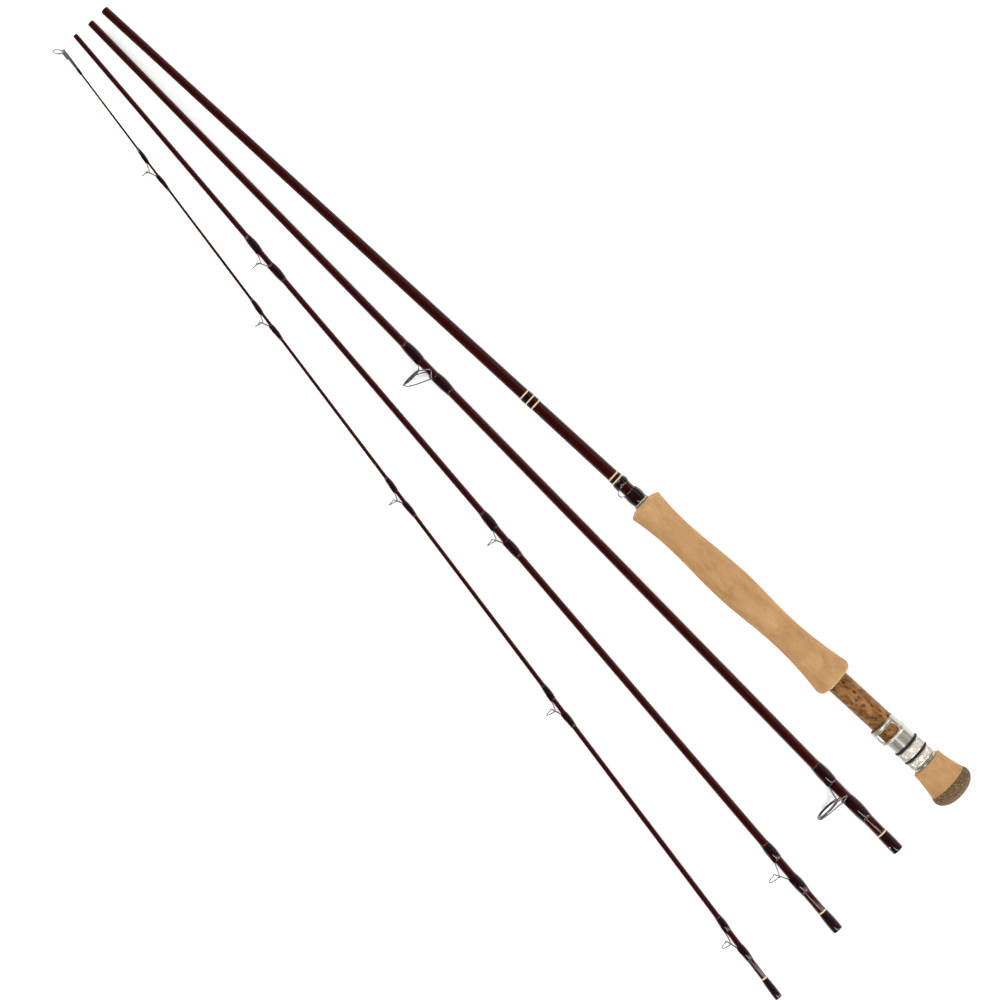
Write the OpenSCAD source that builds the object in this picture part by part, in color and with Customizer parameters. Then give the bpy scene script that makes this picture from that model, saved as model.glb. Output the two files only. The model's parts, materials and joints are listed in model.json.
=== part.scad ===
// Four-piece fly rod, taken apart and laid out side by side.
// Part frame: +Z up from the surface it lies on, +X along the butt section towards the tips.
// Each section is drawn in a frame of its own and then laid down: its butt end is at the origin,
// +X runs along its axis towards the tip, and its guides stand up along +Z.

/* [Butt section] */
// Length of the butt section, fighting butt to male ferrule
butt_length = 751; // [740:1:770]
// Radius that the butt blank's taper would have at the butt end
butt_blank_r = 5.4; // [5.2:0.1:5.5]
// Radius of the butt section's male ferrule
butt_male_r = 2.85; // [2.7:0.05:2.95]

/* [Grip] */
// Where the cork grip starts, from the butt end
grip_rear_x = 109; // [107:1:112]
// Length of the cork grip
grip_length = 169; // [165:1:172]
// Number of cork rings in the grip
grip_rings = 13; // [10:1:16]
// Radius of the grip's rear flare
grip_rear_r = 13.8; // [13:0.1:14.5]
// Radius of the grip's front flare
grip_front_r = 12.3; // [11.5:0.1:13]
// Radius of the grip's two waists
grip_waist_r = 10.15; // [9.8:0.05:10.6]
// Radius of the swell in the palm
grip_swell_r = 12; // [11.2:0.1:12.6]

/* [Fighting butt] */
// Length of the dark composite end
butt_cap_length = 11.9; // [11:0.1:13]
// Where the fighting butt ends and the reel seat starts
butt_front_x = 30.3; // [30:0.1:30.6]
// Radius of the fighting butt's widest rim
butt_rim_r = 15.4; // [14.6:0.1:16]
// Radius of the fighting butt where it meets the reel seat
butt_front_r = 11.35; // [11:0.05:12]

/* [Reel seat] */
// Radius of the burl insert
insert_r = 7.95; // [7.85:0.05:8]
// Radius of the barrel over its thread
thread_r = 7.75; // [7.6:0.05:7.8]
// Thread pitch
thread_pitch = 1.25; // [1:0.05:1.5]
// Radius of the two lock nuts
nut_r = 9.3; // [9.1:0.1:9.5]
// Length of the rear lock nut
rear_nut_length = 5.8; // [5.4:0.1:5.9]
// Length of the front lock nut
front_nut_length = 6.6; // [6.2:0.1:6.7]
// Radial clearance between pieces that slide or turn on each other
running_gap = 0.05; // [0.03:0.01:0.08]

/* [Upper sections] */
// Length of the second section
second_length = 751; // [740:1:760]
// Length of the third section
third_length = 764; // [750:1:775]
// Length of the tip section's blank
tip_length = 759; // [750:1:770]
// Depth of each female ferrule, and length of each male one
ferrule_depth = 50; // [40:1:55]
// How far the guides stand up off the surface, in degrees
guide_roll = 20; // [18:1:30]

/* [Guides] */
// Outer radius of the lower stripping guide's holder
lower_ring_r = 9.3; // [8.8:0.1:9.6]
// Outer radius of the upper stripping guide's holder
upper_ring_r = 7.6; // [7.2:0.1:8]
// Radius of the wire in the snake guides
snake_wire_r = 0.4; // [0.35:0.05:0.45]

/* [Hidden] */
$fn = 64;

eps = 0.05;          // how far a cutting solid runs past what it cuts
glue = 0.02;         // thickness of a glue line
gold_width = 1;      // width of a gold band
trim_width = 0.9;    // width of a thin trim band

// A section is [length, radius at the butt end, radius of the male end, length of the male end,
// wall at the butt end, wall at the tip end]
BUTT = [butt_length, butt_blank_r, butt_male_r, ferrule_depth, 1.2, 0.8];
SECOND = [second_length, 3.65, 2.35, ferrule_depth, 0.75, 0.6];
THIRD = [third_length, 2.95, 1.65, ferrule_depth, 0.55, 0.45];
TIP = [tip_length, 2.05, 0.6, 0, 0.38, 0.3];

// Where each section's butt end is laid, and how far it is turned from +X
BUTT_AT = [-376.5, -81.9, 0];
SECOND_AT = [-373.4, -28.3, -3.17];
THIRD_AT = [-379.8, 36.3, -7.02];
TIP_AT = [-381.5, 94.8, -10.41];

// Guides: a stripping guide is [ring's place, ring's radius, ring's centre above the axis,
// gap to the rear wrap, gap to the front wrap, rear wrap's length, front wrap's length,
// how many degrees its side wires dip round the blank]
LOWER_GUIDE = [52, lower_ring_r, 15.4, 5, 9.5, 17, 15, 55];
UPPER_GUIDE = [440, upper_ring_r, 12.9, 10, 3.5, 13.5, 15, 50];
// A snake guide is [its place, gap between its wraps, loop's centre above the axis, loop's outer radius]
THIRD_SNAKES = [[53, 15, 10.6, 4.2], [337.5, 11, 8.4, 3.9], [573.3, 11, 7.9, 3.7]];
TIP_SNAKES = [[48.4, 12.8, 7.1, 3.7], [237.5, 11, 6.9, 3.6], [408, 9, 6.5, 3.5], [552.6, 10, 6.3, 3.3],
              [675, 11, 5.9, 3.1]];
third_wrap = 12.5;   // length of a snake guide's wrap on the third section
tip_wrap = 10.5;     // the same on the tip section
wrap_bulge = 0.85;   // thickness of a wrap over a guide's foot, second and third section
tip_bulge = 0.65;    // the same on the tip section
loop_open = 140;     // half the angle that a snake guide's loop turns through
loop_drift = -2;     // how far that loop advances along the rod: backwards, so that its legs cross

// Reel seat, from the butt end forwards
collar_x = butt_front_x + glue;
rear_nut_x = 33;
rear_ring_x = rear_nut_x + rear_nut_length + 0.1;
front_nut_x = 40.5;
front_ring_x = front_nut_x + front_nut_length + 0.1;
hood_x = 48.9;
hood_pocket_x = 57;
hood_mouth_x = 69;
barrel_front_x = 57;
insert_front_x = 123;
blank_start_x = 50;
o_ring_r = 0.75;
seat_bore_r = 6.2;       // bore of the insert and of the barrel
plug_front_x = 46;
hood_bore_r = insert_r + running_gap;
pocket_r = 8.5;
pocket_shift = 1.45;     // how far a hood's pocket is set off towards the reel foot
hood_wall = 0.65;
hood_bead_r = 9.35;
hood_bead_x = 57.4;
hood_bead_length = 2.8;
window_rear_x = 58.6;
window_front_x = 66;
window_width = 13.4;
window_corner_r = 3;
window_turn = 70;        // from the pocket's side of the hood round to the middle of a window
fixed_hood_length = 14;
knurls = 40;             // flutes round each lock nut
knurl_depth = 0.25;
nut_bevel = 0.5;
nut_rim = 0.9;           // length of the plain rim at each end of a lock nut
o_ring_seat = 0.4;       // how far an O-ring's middle is inside the lock nuts' outside
foot_width = 2;          // width of a stripping guide's feet
foot_thick = 0.5;
foot_end = 0.2;          // thickness of a guide's foot at its far end
foot_neck = 1.2;         // how far a foot shows between its wrap and its wires
foot_bound = 0.8;        // share of a wrap's length that the foot under it reaches
channel_gap = 0.08;      // room round a snake guide's foot under its wrap
holder_wall = 0.75;
holder_width = 1.5;
bezel_r = 0.8;
brace_r = 0.45;
brace_angle = 38;        // where the side wires leave the holder, from its bottom
brace_fall = 5;          // how quickly the side wires close in on the blank
brace_start = 0.7;       // how far behind the holder's middle its wires are brazed to it
brace_steps = 12;

// Grip and fighting butt
grip_front_x = grip_rear_x + grip_length;
grip_rear_edge_x = grip_rear_x + 4.7;
grip_rear_waist_x = grip_rear_x + 46.5;
grip_swell_x = grip_rear_x + 90;
grip_front_waist_x = grip_front_x - 30;
grip_front_edge_x = grip_front_x - 2.8;
rim_x = 8.5;             // where the fighting butt's rim is widest
rim_power = 2.4;         // how square its dome is
rim_steps = 6;
butt_join_r = 14.4;      // radius where its dark end meets the light cork
butt_flare_power = 1.7;
plug_rear_x = 4;
thread_turns = 17;
thread_depth = 0.4;
thread_start_x = 33.5;
groove_width = 0.9;
collar_r = 8.95;
collar_length = 2.2;
grip_round = 2.6;        // radius that its rear edge is rounded to
grip_step = 3.4;         // length of its outline's pieces

// Trim in front of the grip
check_length = 1.8;
check_thick = 1.35;
keeper_rear_x = 289.4;
keeper_front_x = 294.6;
keeper_foot = 7;
keeper_rise = 1.7;
keeper_wire_r = 0.4;
keeper_gap = 0.05;       // room between the keeper's feet and the blank
butt_golds = [303.2, 371.4, 381.1];
butt_trims = [299.9, 376.2];
gold_proud = 0.3;        // thickness of a gold band
trim_proud = 0.32;       // thickness of a thin trim band on the butt section

// Wraps and ferrules
wrap_edge = 0.25;        // thickness of a wrap at its ends
wrap_steps = 8;
socket_gap = 0.03;
socket_room = 2;         // how much deeper a socket is than its male end is long
socket_step = 0.3;       // step at the bottom of a socket
lip = 0.6;               // length of the rounded lip of a ferrule's wrap
second_ferrule = [15, 0.42];    // length and thickness of the wrap round each female ferrule
third_ferrule = [15.4, 0.7];
tip_ferrule = [15.6, 0.62];

// Tip-top
tip_tube_x = tip_length - 1.5;
tip_tube_length = 14.5;
tip_tube_r = 1.05;
tip_loop_r = 3.1;        // radius of the tip-top's loop, to the middle of its wire
tip_loop_lean = 50;      // how far the loop's plane leans up from the rod's axis
tip_loop_start = 0.9;    // how far the loop's middle is past the tube's end, in loop radii
tip_leg = 6;             // length of the loop's legs along the tube
tip_leg_y = 0.45;        // how far each leg is off to its side of the tube's middle

// ---- helpers ----

// Slow start and slow end between two heights, as u goes from 0 to 1
function ease(a, b, u) = a + (b - a) * (1 - cos(180 * u)) / 2;

// Radius of a section's blank at x: a straight taper, then a cylindrical male end
function blank_r(s, x) = s[1] + (s[2] - s[1]) * min(x, s[0] - s[3]) / (s[0] - s[3]);
function taper(s) = atan((s[1] - s[2]) / (s[0] - s[3]));

function unit(v) = v / norm(v);
function square_to(v, axis) = unit(v - (v * axis) * axis);
function tangent(path, i) = unit(path[min(i + 1, len(path) - 1)] - path[max(i - 1, 0)]);
function bezier(a, b, c, d, t) =
    pow(1 - t, 3) * a + 3 * pow(1 - t, 2) * t * b + 3 * (1 - t) * t * t * c + pow(t, 3) * d;

// Revolves a list of [distance along the section, radius] points about the section's axis
module spin(profile) rotate([0, 90, 0]) rotate_extrude() polygon([for (p = profile) [p[1], p[0]]]);

// A straight tube about the section's axis
module tube(x0, x1, outer_r, inner_r) spin([[x0, inner_r], [x1, inner_r], [x1, outer_r], [x0, outer_r]]);

module rod(x0, x1, r) translate([x0, 0, 0]) rotate([0, 90, 0]) cylinder(h = x1 - x0, r = r);

// Wire along a path of points, with a radius at each point, as one polyhedron
module wire(path, radii, sides = 8) {
    n = len(path);
    first = unit(cross(tangent(path, 0), [0.3, 0.9, 0.2]));
    normals = [for (i = 0, m = first; i < n;
                    m = square_to(m, tangent(path, min(i + 1, n - 1))), i = i + 1) m];
    points = [for (i = [0 : n - 1]) for (k = [0 : sides - 1])
        path[i] + radii[i] * (cos(360 * k / sides) * normals[i]
                              + sin(360 * k / sides) * cross(tangent(path, i), normals[i]))];
    skin = [for (i = [0 : n - 2]) for (k = [0 : sides - 1])
        [i * sides + k, (i + 1) * sides + k, (i + 1) * sides + (k + 1) % sides, i * sides + (k + 1) % sides]];
    last = (n - 1) * sides;
    caps = [[for (k = [0 : sides - 1]) k], [for (k = [sides - 1 : -1 : 0]) last + k]];
    polyhedron(points, concat(skin, caps));
}

// Lays a section down: its axis at height lift over its butt end, tip tilted down, guides rolled over
module lay(at, tilt, lift, roll)
    translate([at[0], at[1], lift]) rotate([0, 0, at[2]]) rotate([0, tilt, 0])
        rotate([roll - 90, 0, 0]) children();

// The butt section rests on the rim of its fighting butt and on the grip's front flare
butt_tilt = asin((butt_rim_r - grip_front_r) / (grip_front_edge_x - rim_x));
butt_lift = butt_rim_r * cos(butt_tilt) + rim_x * sin(butt_tilt);
module in_butt() lay(BUTT_AT, butt_tilt, butt_lift, 0) children();

// The second and third sections rest on their guide wraps, which stand equally proud of the taper
module on_wraps(at, s, bulge) lay(at, taper(s), (s[1] + bulge) / cos(taper(s)), guide_roll) children();
module in_second() on_wraps(SECOND_AT, SECOND, wrap_bulge) children();
module in_third() on_wraps(THIRD_AT, THIRD, wrap_bulge) children();

// The tip section rests on its ferrule wrap and on the loop of the tip-top, whose lowest point is
// tip_loop_drop under the section's axis
tip_wrap_r = TIP[1] + tip_ferrule[1];
tip_loop_z = tip_tube_r + snake_wire_r + glue;
tip_loop_height = tip_loop_z + tip_loop_start * tip_loop_r * sin(tip_loop_lean);
tip_loop_drop = snake_wire_r - tip_loop_height * sin(guide_roll)
    + tip_loop_r * norm([cos(guide_roll), sin(guide_roll) * sin(tip_loop_lean)]);
tip_tilt = asin((tip_wrap_r - tip_loop_drop) / (tip_tube_x + tip_tube_length));
module in_tip() lay(TIP_AT, tip_tilt, tip_wrap_r, guide_roll) children();

// ---- what every section has ----

function male_end(s, r) = s[3] > 0 ? [[s[0] - s[3], r]] : [];

// Outside of a blank from x0 on, and the taper bored along its inside
module blank_body(s, x0)
    spin(concat([[x0, 0], [s[0], 0], [s[0], s[2]]], male_end(s, s[2]), [[x0, blank_r(s, x0)]]));
module blank_bore(s, x0, r)
    spin(concat([[x0, 0], [s[0] + eps, 0], [s[0] + eps, s[2] - s[5]]], male_end(s, s[2] - s[5]), [[x0, r]]));

// A female ferrule is a straight bore that another section's male end slides into
module blank_with_socket(s, male_r)
    difference() {
        blank_body(s, 0);
        rod(-eps, ferrule_depth + socket_room, male_r + socket_gap);
        blank_bore(s, ferrule_depth + socket_room - eps, male_r - socket_step);
    }

// Varnished thread, thicker towards its middle
module thread_wrap(s, x0, x1, peak, edge = wrap_edge)
    spin(concat([[x1, blank_r(s, x1) + glue], [x0, blank_r(s, x0) + glue]],
                [for (u = [0 : 1 / wrap_steps : 1]) let (x = x0 + u * (x1 - x0))
                    [x, blank_r(s, x) + edge + (peak - edge) * sin(180 * u)]]));

// Thread round a female ferrule, with a rounded lip at its mouth
module ferrule_wrap(s, ferrule) {
    length = ferrule[0];
    thick = ferrule[1];
    end_r = blank_r(s, length);
    spin([[0, s[1] + glue], [length, end_r + glue], [length, end_r + wrap_edge],
          [length - 2, end_r + thick * 0.7], [4, s[1] + thick], [lip, s[1] + thick],
          [0, s[1] + thick - lip / 2]]);
}

module band(s, x, width, proud) tube(x, x + width, blank_r(s, x) + proud, blank_r(s, x) + glue);
module gold_band_after(s, ferrule) band(s, ferrule[0] + glue, gold_width, gold_proud);

// ---- butt section ----

// How far x is on the way from a to b, and the radius of a flare that opens that way from a waist
function share(x, a, b) = (x - a) / (b - a);
function flare(r, u) = grip_waist_r + (r - grip_waist_r) * pow(u, 2);

// Radius of the cork grip at x: rear flare, rear waist, swell, front waist, front flare
function grip_r(x) =
    x < grip_rear_waist_x ? flare(grip_rear_r, share(x, grip_rear_waist_x, grip_rear_edge_x))
    : x < grip_swell_x ? ease(grip_waist_r, grip_swell_r, share(x, grip_rear_waist_x, grip_swell_x))
    : x < grip_front_waist_x ? ease(grip_swell_r, grip_waist_r, share(x, grip_swell_x, grip_front_waist_x))
    : flare(grip_front_r, share(x, grip_front_waist_x, grip_front_edge_x));

// Outline of the grip: a rounded rear edge, the curve of grip_r, and a conical front shoulder
function grip_outline() = concat(
    [for (a = [0 : 22.5 : 67.5]) [grip_rear_edge_x - (grip_rear_edge_x - grip_rear_x) * cos(a),
                                  grip_rear_r - grip_round + grip_round * sin(a)]],
    [for (x = [grip_rear_edge_x : grip_step : grip_front_edge_x]) [x, grip_r(x)]],
    [[grip_front_edge_x + 0.8, grip_front_r - 0.5], [grip_front_x - 0.4, grip_front_r - 4],
     [grip_front_x, grip_front_r - 6]]);

// Both hoods: a bore round the insert with a pocket on the reel-foot side
module hood_shape(x0, x1, bore_r, grow) {
    rod(x0, x1, bore_r + grow);
    translate([0, 0, pocket_shift]) rod(x0, x1, pocket_r + grow);
}

module butt_blank() color([0.2, 0.05, 0.07]) in_butt()
    difference() {
        blank_body(BUTT, blank_start_x);
        blank_bore(BUTT, blank_start_x - eps, blank_r(BUTT, blank_start_x) - BUTT[4]);
    }

module grip_cork_rings() color([0.8, 0.62, 0.4]) in_butt() {
    ring_length = grip_length / grip_rings;
    difference() {
        spin(concat([[grip_front_x, 0], [grip_rear_x, 0]], grip_outline()));
        blank_clearance();
        hood_shape(grip_rear_x - eps, grip_rear_x + fixed_hood_length + 0.1, hood_bore_r, hood_wall + glue);
        for (i = [1 : grip_rings - 1])
            translate([grip_rear_x + i * ring_length, 0, 0]) tube(-glue, glue, grip_rear_r + 2, 0);
    }
}

// The taper of the blank, glued with a little room, as the grip's bore
module blank_clearance() {
    rear_r = blank_r(BUTT, grip_rear_x) + glue;
    front_r = blank_r(BUTT, grip_front_x) + glue;
    spin([[grip_rear_x - eps, 0], [grip_front_x + eps, 0], [grip_front_x + eps, front_r],
          [grip_rear_x - eps, rear_r]]);
}

module winding_check() color([0.8, 0.8, 0.8]) in_butt()
    band(BUTT, grip_front_x + glue, check_length, check_thick);

// The hook keeper: a wire laid along the blank, that stands up in a loop between its two wraps
keeper_z = blank_r(BUTT, keeper_front_x) + keeper_wire_r + keeper_gap;
keeper_middle = (keeper_rear_x + keeper_front_x) / 2;
keeper_half = (keeper_front_x - keeper_rear_x) / 2 - 0.35;
function keeper_path() = concat(
    [[keeper_rear_x - keeper_foot, 0, keeper_z + keeper_gap], [keeper_rear_x - 0.6, 0, keeper_z]],
    [for (a = [180 : -20 : 0])
        [keeper_middle + keeper_half * cos(a), 0, keeper_z + keeper_wire_r + keeper_rise * sin(a)]],
    [[keeper_front_x + 0.6, 0, keeper_z], [keeper_front_x + keeper_foot - 2, 0, keeper_z]]);

module hook_keeper() color([0.8, 0.8, 0.8]) in_butt()
    wire(keeper_path(), [for (p = keeper_path()) keeper_wire_r]);

module keeper_wraps() color([0.12, 0.05, 0.06]) in_butt()
    difference() {
        union() {
            thread_wrap(BUTT, grip_front_x + check_length + 2 * glue, keeper_rear_x, 1.35, 0.7);
            thread_wrap(BUTT, keeper_front_x, butt_trims[0] - glue, 1.0, 0.3);
        }
        keeper_channel(keeper_rear_x - keeper_foot - 0.2, keeper_rear_x + 1);
        keeper_channel(keeper_front_x - 1, keeper_front_x + keeper_foot + 0.2);
    }

module keeper_channel(x0, x1) translate([0, 0, keeper_z]) rod(x0, x1, keeper_wire_r + 2 * keeper_gap);

module butt_gold_bands() color([0.85, 0.72, 0.42]) in_butt() {
    for (x = butt_golds) band(BUTT, x, gold_width, gold_proud);
    for (x = butt_trims) band(BUTT, x, trim_width, trim_proud);
}

module butt_band_wraps() color([0.12, 0.05, 0.06]) in_butt() {
    wrap_between(butt_trims[0] + trim_width, butt_golds[0]);
    wrap_between(butt_golds[1] + gold_width, butt_trims[1]);
    wrap_between(butt_trims[1] + trim_width, butt_golds[2]);
}
module wrap_between(x0, x1) thread_wrap(BUTT, x0 + glue, x1 - glue, 0.27, 0.25);

module fixed_hood() color([0.8, 0.8, 0.8]) in_butt()
    difference() {
        hood_shape(grip_rear_x - 0.4, grip_rear_x + fixed_hood_length, hood_bore_r, hood_wall);
        hood_shape(grip_rear_x - 1, grip_rear_x + fixed_hood_length + 1, insert_r + glue, 0);
    }

module seat_insert() color([0.6, 0.36, 0.16]) in_butt()
    tube(barrel_front_x + glue, insert_front_x, insert_r, seat_bore_r);

module seat_arbors() color([0.75, 0.7, 0.6]) in_butt()
    for (x = [blank_start_x + 1, 80, 110]) tube(x, x + 10, seat_bore_r - glue, blank_r(BUTT, x) + glue);

// Three points of the outline for each groove of the thread
function groove(x) =
    [[x, thread_r], [x + groove_width / 2, thread_r - thread_depth], [x + groove_width, thread_r]];

module threaded_barrel() color([0.8, 0.8, 0.8]) in_butt()
    spin(concat([[barrel_front_x, thread_r], [barrel_front_x, seat_bore_r], [collar_x, seat_bore_r],
                 [collar_x, thread_r]],
                [for (i = [0 : thread_turns - 1]) for (p = groove(thread_start_x + i * thread_pitch)) p]));

module end_collar() color([0.8, 0.8, 0.8]) in_butt()
    difference() {
        spin([[collar_x, 0], [collar_x + collar_length, 0], [collar_x + collar_length, collar_r - 0.3],
              [collar_x + collar_length - 0.3, collar_r], [collar_x, collar_r]]);
        rod(collar_x - 1, collar_x + collar_length + 1, thread_r + glue);
    }

module butt_plug() color([0.5, 0.4, 0.3]) in_butt() rod(plug_rear_x, plug_front_x, seat_bore_r - glue);

// The fighting butt: light cork that flares back to a dark domed end
cork_rear_x = butt_cap_length + glue;
cork_bevel = 0.7;
cork_side = butt_front_x - cork_bevel - cork_rear_x;
function butt_cork_r(x) = butt_front_r
    + (butt_join_r - butt_front_r) * pow(share(x, butt_front_x, butt_cap_length), butt_flare_power);
module fighting_butt_cork() color([0.8, 0.62, 0.4]) in_butt()
    difference() {
        spin(concat([[butt_front_x, 0], [cork_rear_x, 0]],
                    [for (u = [0 : 0.1 : 1]) let (x = cork_rear_x + u * cork_side) [x, butt_cork_r(x)]],
                    [[butt_front_x, butt_front_r - cork_bevel]]));
        rod(0, butt_front_x + 1, seat_bore_r);
    }

module fighting_butt_cap() color([0.36, 0.28, 0.2]) in_butt()
    difference() {
        spin(concat([[butt_cap_length, 0], [0, 0]],
                    [for (i = [1 : rim_steps]) let (a = 90 * i / rim_steps)
                        [rim_x * (1 - cos(a)), butt_rim_r * pow(sin(a), 2 / rim_power)]],
                    [[(rim_x + butt_cap_length) / 2, butt_rim_r - 0.25], [butt_cap_length, butt_join_r]]));
        rod(plug_rear_x - glue, butt_cap_length + 1, seat_bore_r);
    }

module sliding_hood() color([0.85, 0.85, 0.85]) in_butt()
    difference() {
        union() {
            rod(hood_x, hood_pocket_x, hood_bore_r + hood_wall);
            hood_shape(hood_pocket_x - 1, hood_mouth_x, hood_bore_r, hood_wall);
            spin([[hood_bead_x, 0], [hood_bead_x, hood_bead_r - 0.4], [hood_bead_x + 0.4, hood_bead_r],
                  [hood_bead_x + hood_bead_length - 0.8, hood_bead_r], [hood_bead_x + hood_bead_length, 0]]);
        }
        rod(hood_x - 1, hood_mouth_x + 1, hood_bore_r);
        translate([0, 0, pocket_shift]) rod(hood_pocket_x + 1.5, hood_mouth_x + 1, pocket_r);
        for (side = [-1, 1]) rotate([side * window_turn, 0, 0]) hood_window();
    }

// A round-cornered opening through the hood's wall that shows the insert
module hood_window() {
    length = window_front_x - window_rear_x;
    translate([window_rear_x + length / 2, 0, 5.5]) linear_extrude(8) {
        square([length - 2 * window_corner_r, window_width], center = true);
        square([length, window_width - 2 * window_corner_r], center = true);
        for (x = [-1, 1], y = [-1, 1])
            translate([x * (length / 2 - window_corner_r), y * (window_width / 2 - window_corner_r)])
                circle(r = window_corner_r);
    }
}

module o_ring(x) translate([x + o_ring_r, 0, 0]) rotate([0, 90, 0])
    rotate_extrude() translate([nut_r - o_ring_seat, 0]) circle(r = o_ring_r, $fn = 32);

module lock_nut(x, length)
    difference() {
        spin([[x, nut_r - nut_bevel], [x + nut_bevel, nut_r], [x + length - nut_bevel, nut_r],
              [x + length, nut_r - nut_bevel], [x + length, 0], [x, 0]]);
        rod(x - 1, x + length + 1, thread_r + running_gap);
        for (k = [0 : knurls - 1]) rotate([360 * k / knurls, 0, 0])
            translate([0, 0, nut_r + knurl_depth]) rod(x + nut_rim, x + length - nut_rim, 2 * knurl_depth);
    }

module front_o_ring() color([0.05, 0.05, 0.05]) in_butt() o_ring(front_ring_x);
module rear_o_ring() color([0.05, 0.05, 0.05]) in_butt() o_ring(rear_ring_x);
module front_lock_nut() color([0.85, 0.85, 0.85]) in_butt() lock_nut(front_nut_x, front_nut_length);
module rear_lock_nut() color([0.85, 0.85, 0.85]) in_butt() lock_nut(rear_nut_x, rear_nut_length);

// ---- stripping guides: guide g on section s ----

// A foot is a strip on the blank that thins away from the ring; toward is 1 or -1
module foot(s, x, length, toward) {
    base = blank_r(s, min(x, x + toward * length)) + glue;
    rotate([90, 0, 0]) linear_extrude(foot_width, center = true)
        polygon([[x - toward * foot_neck, base], [x + toward * length, base],
                 [x + toward * length, base + foot_end], [x, base + foot_thick],
                 [x - toward * foot_neck, base + foot_thick]]);
}

module stripping_ring(g) translate([g[0], 0, g[2]]) rotate([0, 90, 0])
    rotate_extrude() translate([g[1] - holder_wall - bezel_r - glue, 0]) circle(r = bezel_r, $fn = 24);

// Wires from the holder back to the rear foot, brazed into the frame at both ends
module stripping_legs(s, g) {
    start_x = g[0] - brace_start;
    rear_x = g[0] - g[3] + 0.35;
    foot_r = blank_r(s, g[0]) + foot_thick + 2 * glue;
    foot_angle = asin(2.1 * brace_r / foot_r);
    middle_r = g[1] - holder_wall / 2;
    start = [middle_r * sin(brace_angle), g[2] - middle_r * cos(brace_angle)];
    start_angle = atan2(start[0], start[1]);
    // Two of them dip round the sides of the blank
    for (side = [-1, 1])
        brace([for (u = [0 : 1 / brace_steps : 1])
            let (r = foot_r + (norm(start) - foot_r) * pow(1 - u, brace_fall),
                 angle = start_angle + (foot_angle - start_angle) * u + g[7] * pow(sin(180 * u), 2))
            [start_x + (rear_x - start_x) * u, side * r * sin(angle), r * cos(angle)]]);
    // The third leaves the top of the holder rearwards and curves down
    top = [start_x, 0, g[2] + middle_r];
    foot = [rear_x, 0, foot_r];
    brace([for (u = [0 : 1 / brace_steps : 1])
        bezier(top, top - [0.4 * g[3], 0, 1.5], foot + [0.22 * g[3], 0, 0.22 * (top[2] - foot_r)], foot, u)]);
}

module brace(path) wire(path, [for (p = path) brace_r]);

module stripping_frame(s, g) {
    base = blank_r(s, g[0] + g[4]) + glue;
    translate([g[0], 0, g[2]]) rotate([0, 90, 0]) difference() {
        cylinder(h = holder_width, r = g[1], center = true);
        cylinder(h = holder_width + 1, r = g[1] - holder_wall, center = true);
    }
    // A plate from the front foot up to the bottom of the holder
    rotate([90, 0, 0]) linear_extrude(foot_width * 0.9, center = true)
        polygon([[g[0] + g[4] - 0.2, base + foot_thick - 0.1], [g[0] + g[4] - 1, base + 0.05],
                 [g[0], g[2] - g[1] + 0.1], [g[0], g[2] - g[1] + holder_wall],
                 [g[0] + holder_wall, g[2] - g[1] + holder_wall - 0.05]]);
    foot(s, g[0] - g[3], g[5] * foot_bound, -1);
    foot(s, g[0] + g[4], g[6] * foot_bound, 1);
}

// The wraps bind the feet in, so feet and wraps share their room
module stripping_wraps(s, g) {
    thread_wrap(s, g[0] - g[3] - g[5], g[0] - g[3], wrap_bulge);
    thread_wrap(s, g[0] + g[4], g[0] + g[4] + g[6], wrap_bulge);
}

// ---- snake guides: guide g on section s, with wraps of a given length ----

// Where a snake guide's foot starts (u = 0) and ends (u = 1) on the blank
function snake_foot(s, g, wrap, toward, u) =
    let (x = g[0] + toward * (g[1] / 2 + foot_bound * wrap * u), r = ease(snake_wire_r, foot_end, u))
    [x, 0, blank_r(s, min(x, g[0] + toward * g[1] / 2)) + glue + r];

function snake_path(s, g, wrap) = let (r = g[3] - snake_wire_r) concat(
    [snake_foot(s, g, wrap, -1, 1), snake_foot(s, g, wrap, -1, 0)],
    [for (a = [-loop_open : 20 : loop_open])
        [g[0] + loop_drift * a / loop_open / 2, -r * sin(a), g[2] + r * cos(a)]],
    [snake_foot(s, g, wrap, 1, 0), snake_foot(s, g, wrap, 1, 1)]);

module snake_guide(s, g, wrap) {
    path = snake_path(s, g, wrap);
    last = len(path) - 1;
    wire(path, [for (i = [0 : last]) i == 0 || i == last ? foot_end : snake_wire_r]);
}

// The wraps over a snake guide's feet, with the room that each foot takes up
module snake_wraps(s, g, wrap, bulge) difference() {
    union() {
        thread_wrap(s, g[0] - g[1] / 2 - wrap, g[0] - g[1] / 2, bulge);
        thread_wrap(s, g[0] + g[1] / 2, g[0] + g[1] / 2 + wrap, bulge);
    }
    for (toward = [-1, 1]) {
        start = snake_foot(s, g, wrap, toward, 0);
        reach = [-1, foot_bound * wrap + 0.2];
        translate([start[0] + (toward > 0 ? reach[0] : -reach[1]), 0, start[2]])
            rod(0, reach[1] - reach[0], snake_wire_r + channel_gap);
    }
}

module trims_of(s, g, wrap) {
    band(s, g[0] - g[1] / 2 - wrap - trim_width - glue, trim_width, wrap_edge);
    band(s, g[0] + g[1] / 2 + wrap + glue, trim_width, wrap_edge);
}

// ---- second section ----

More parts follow.
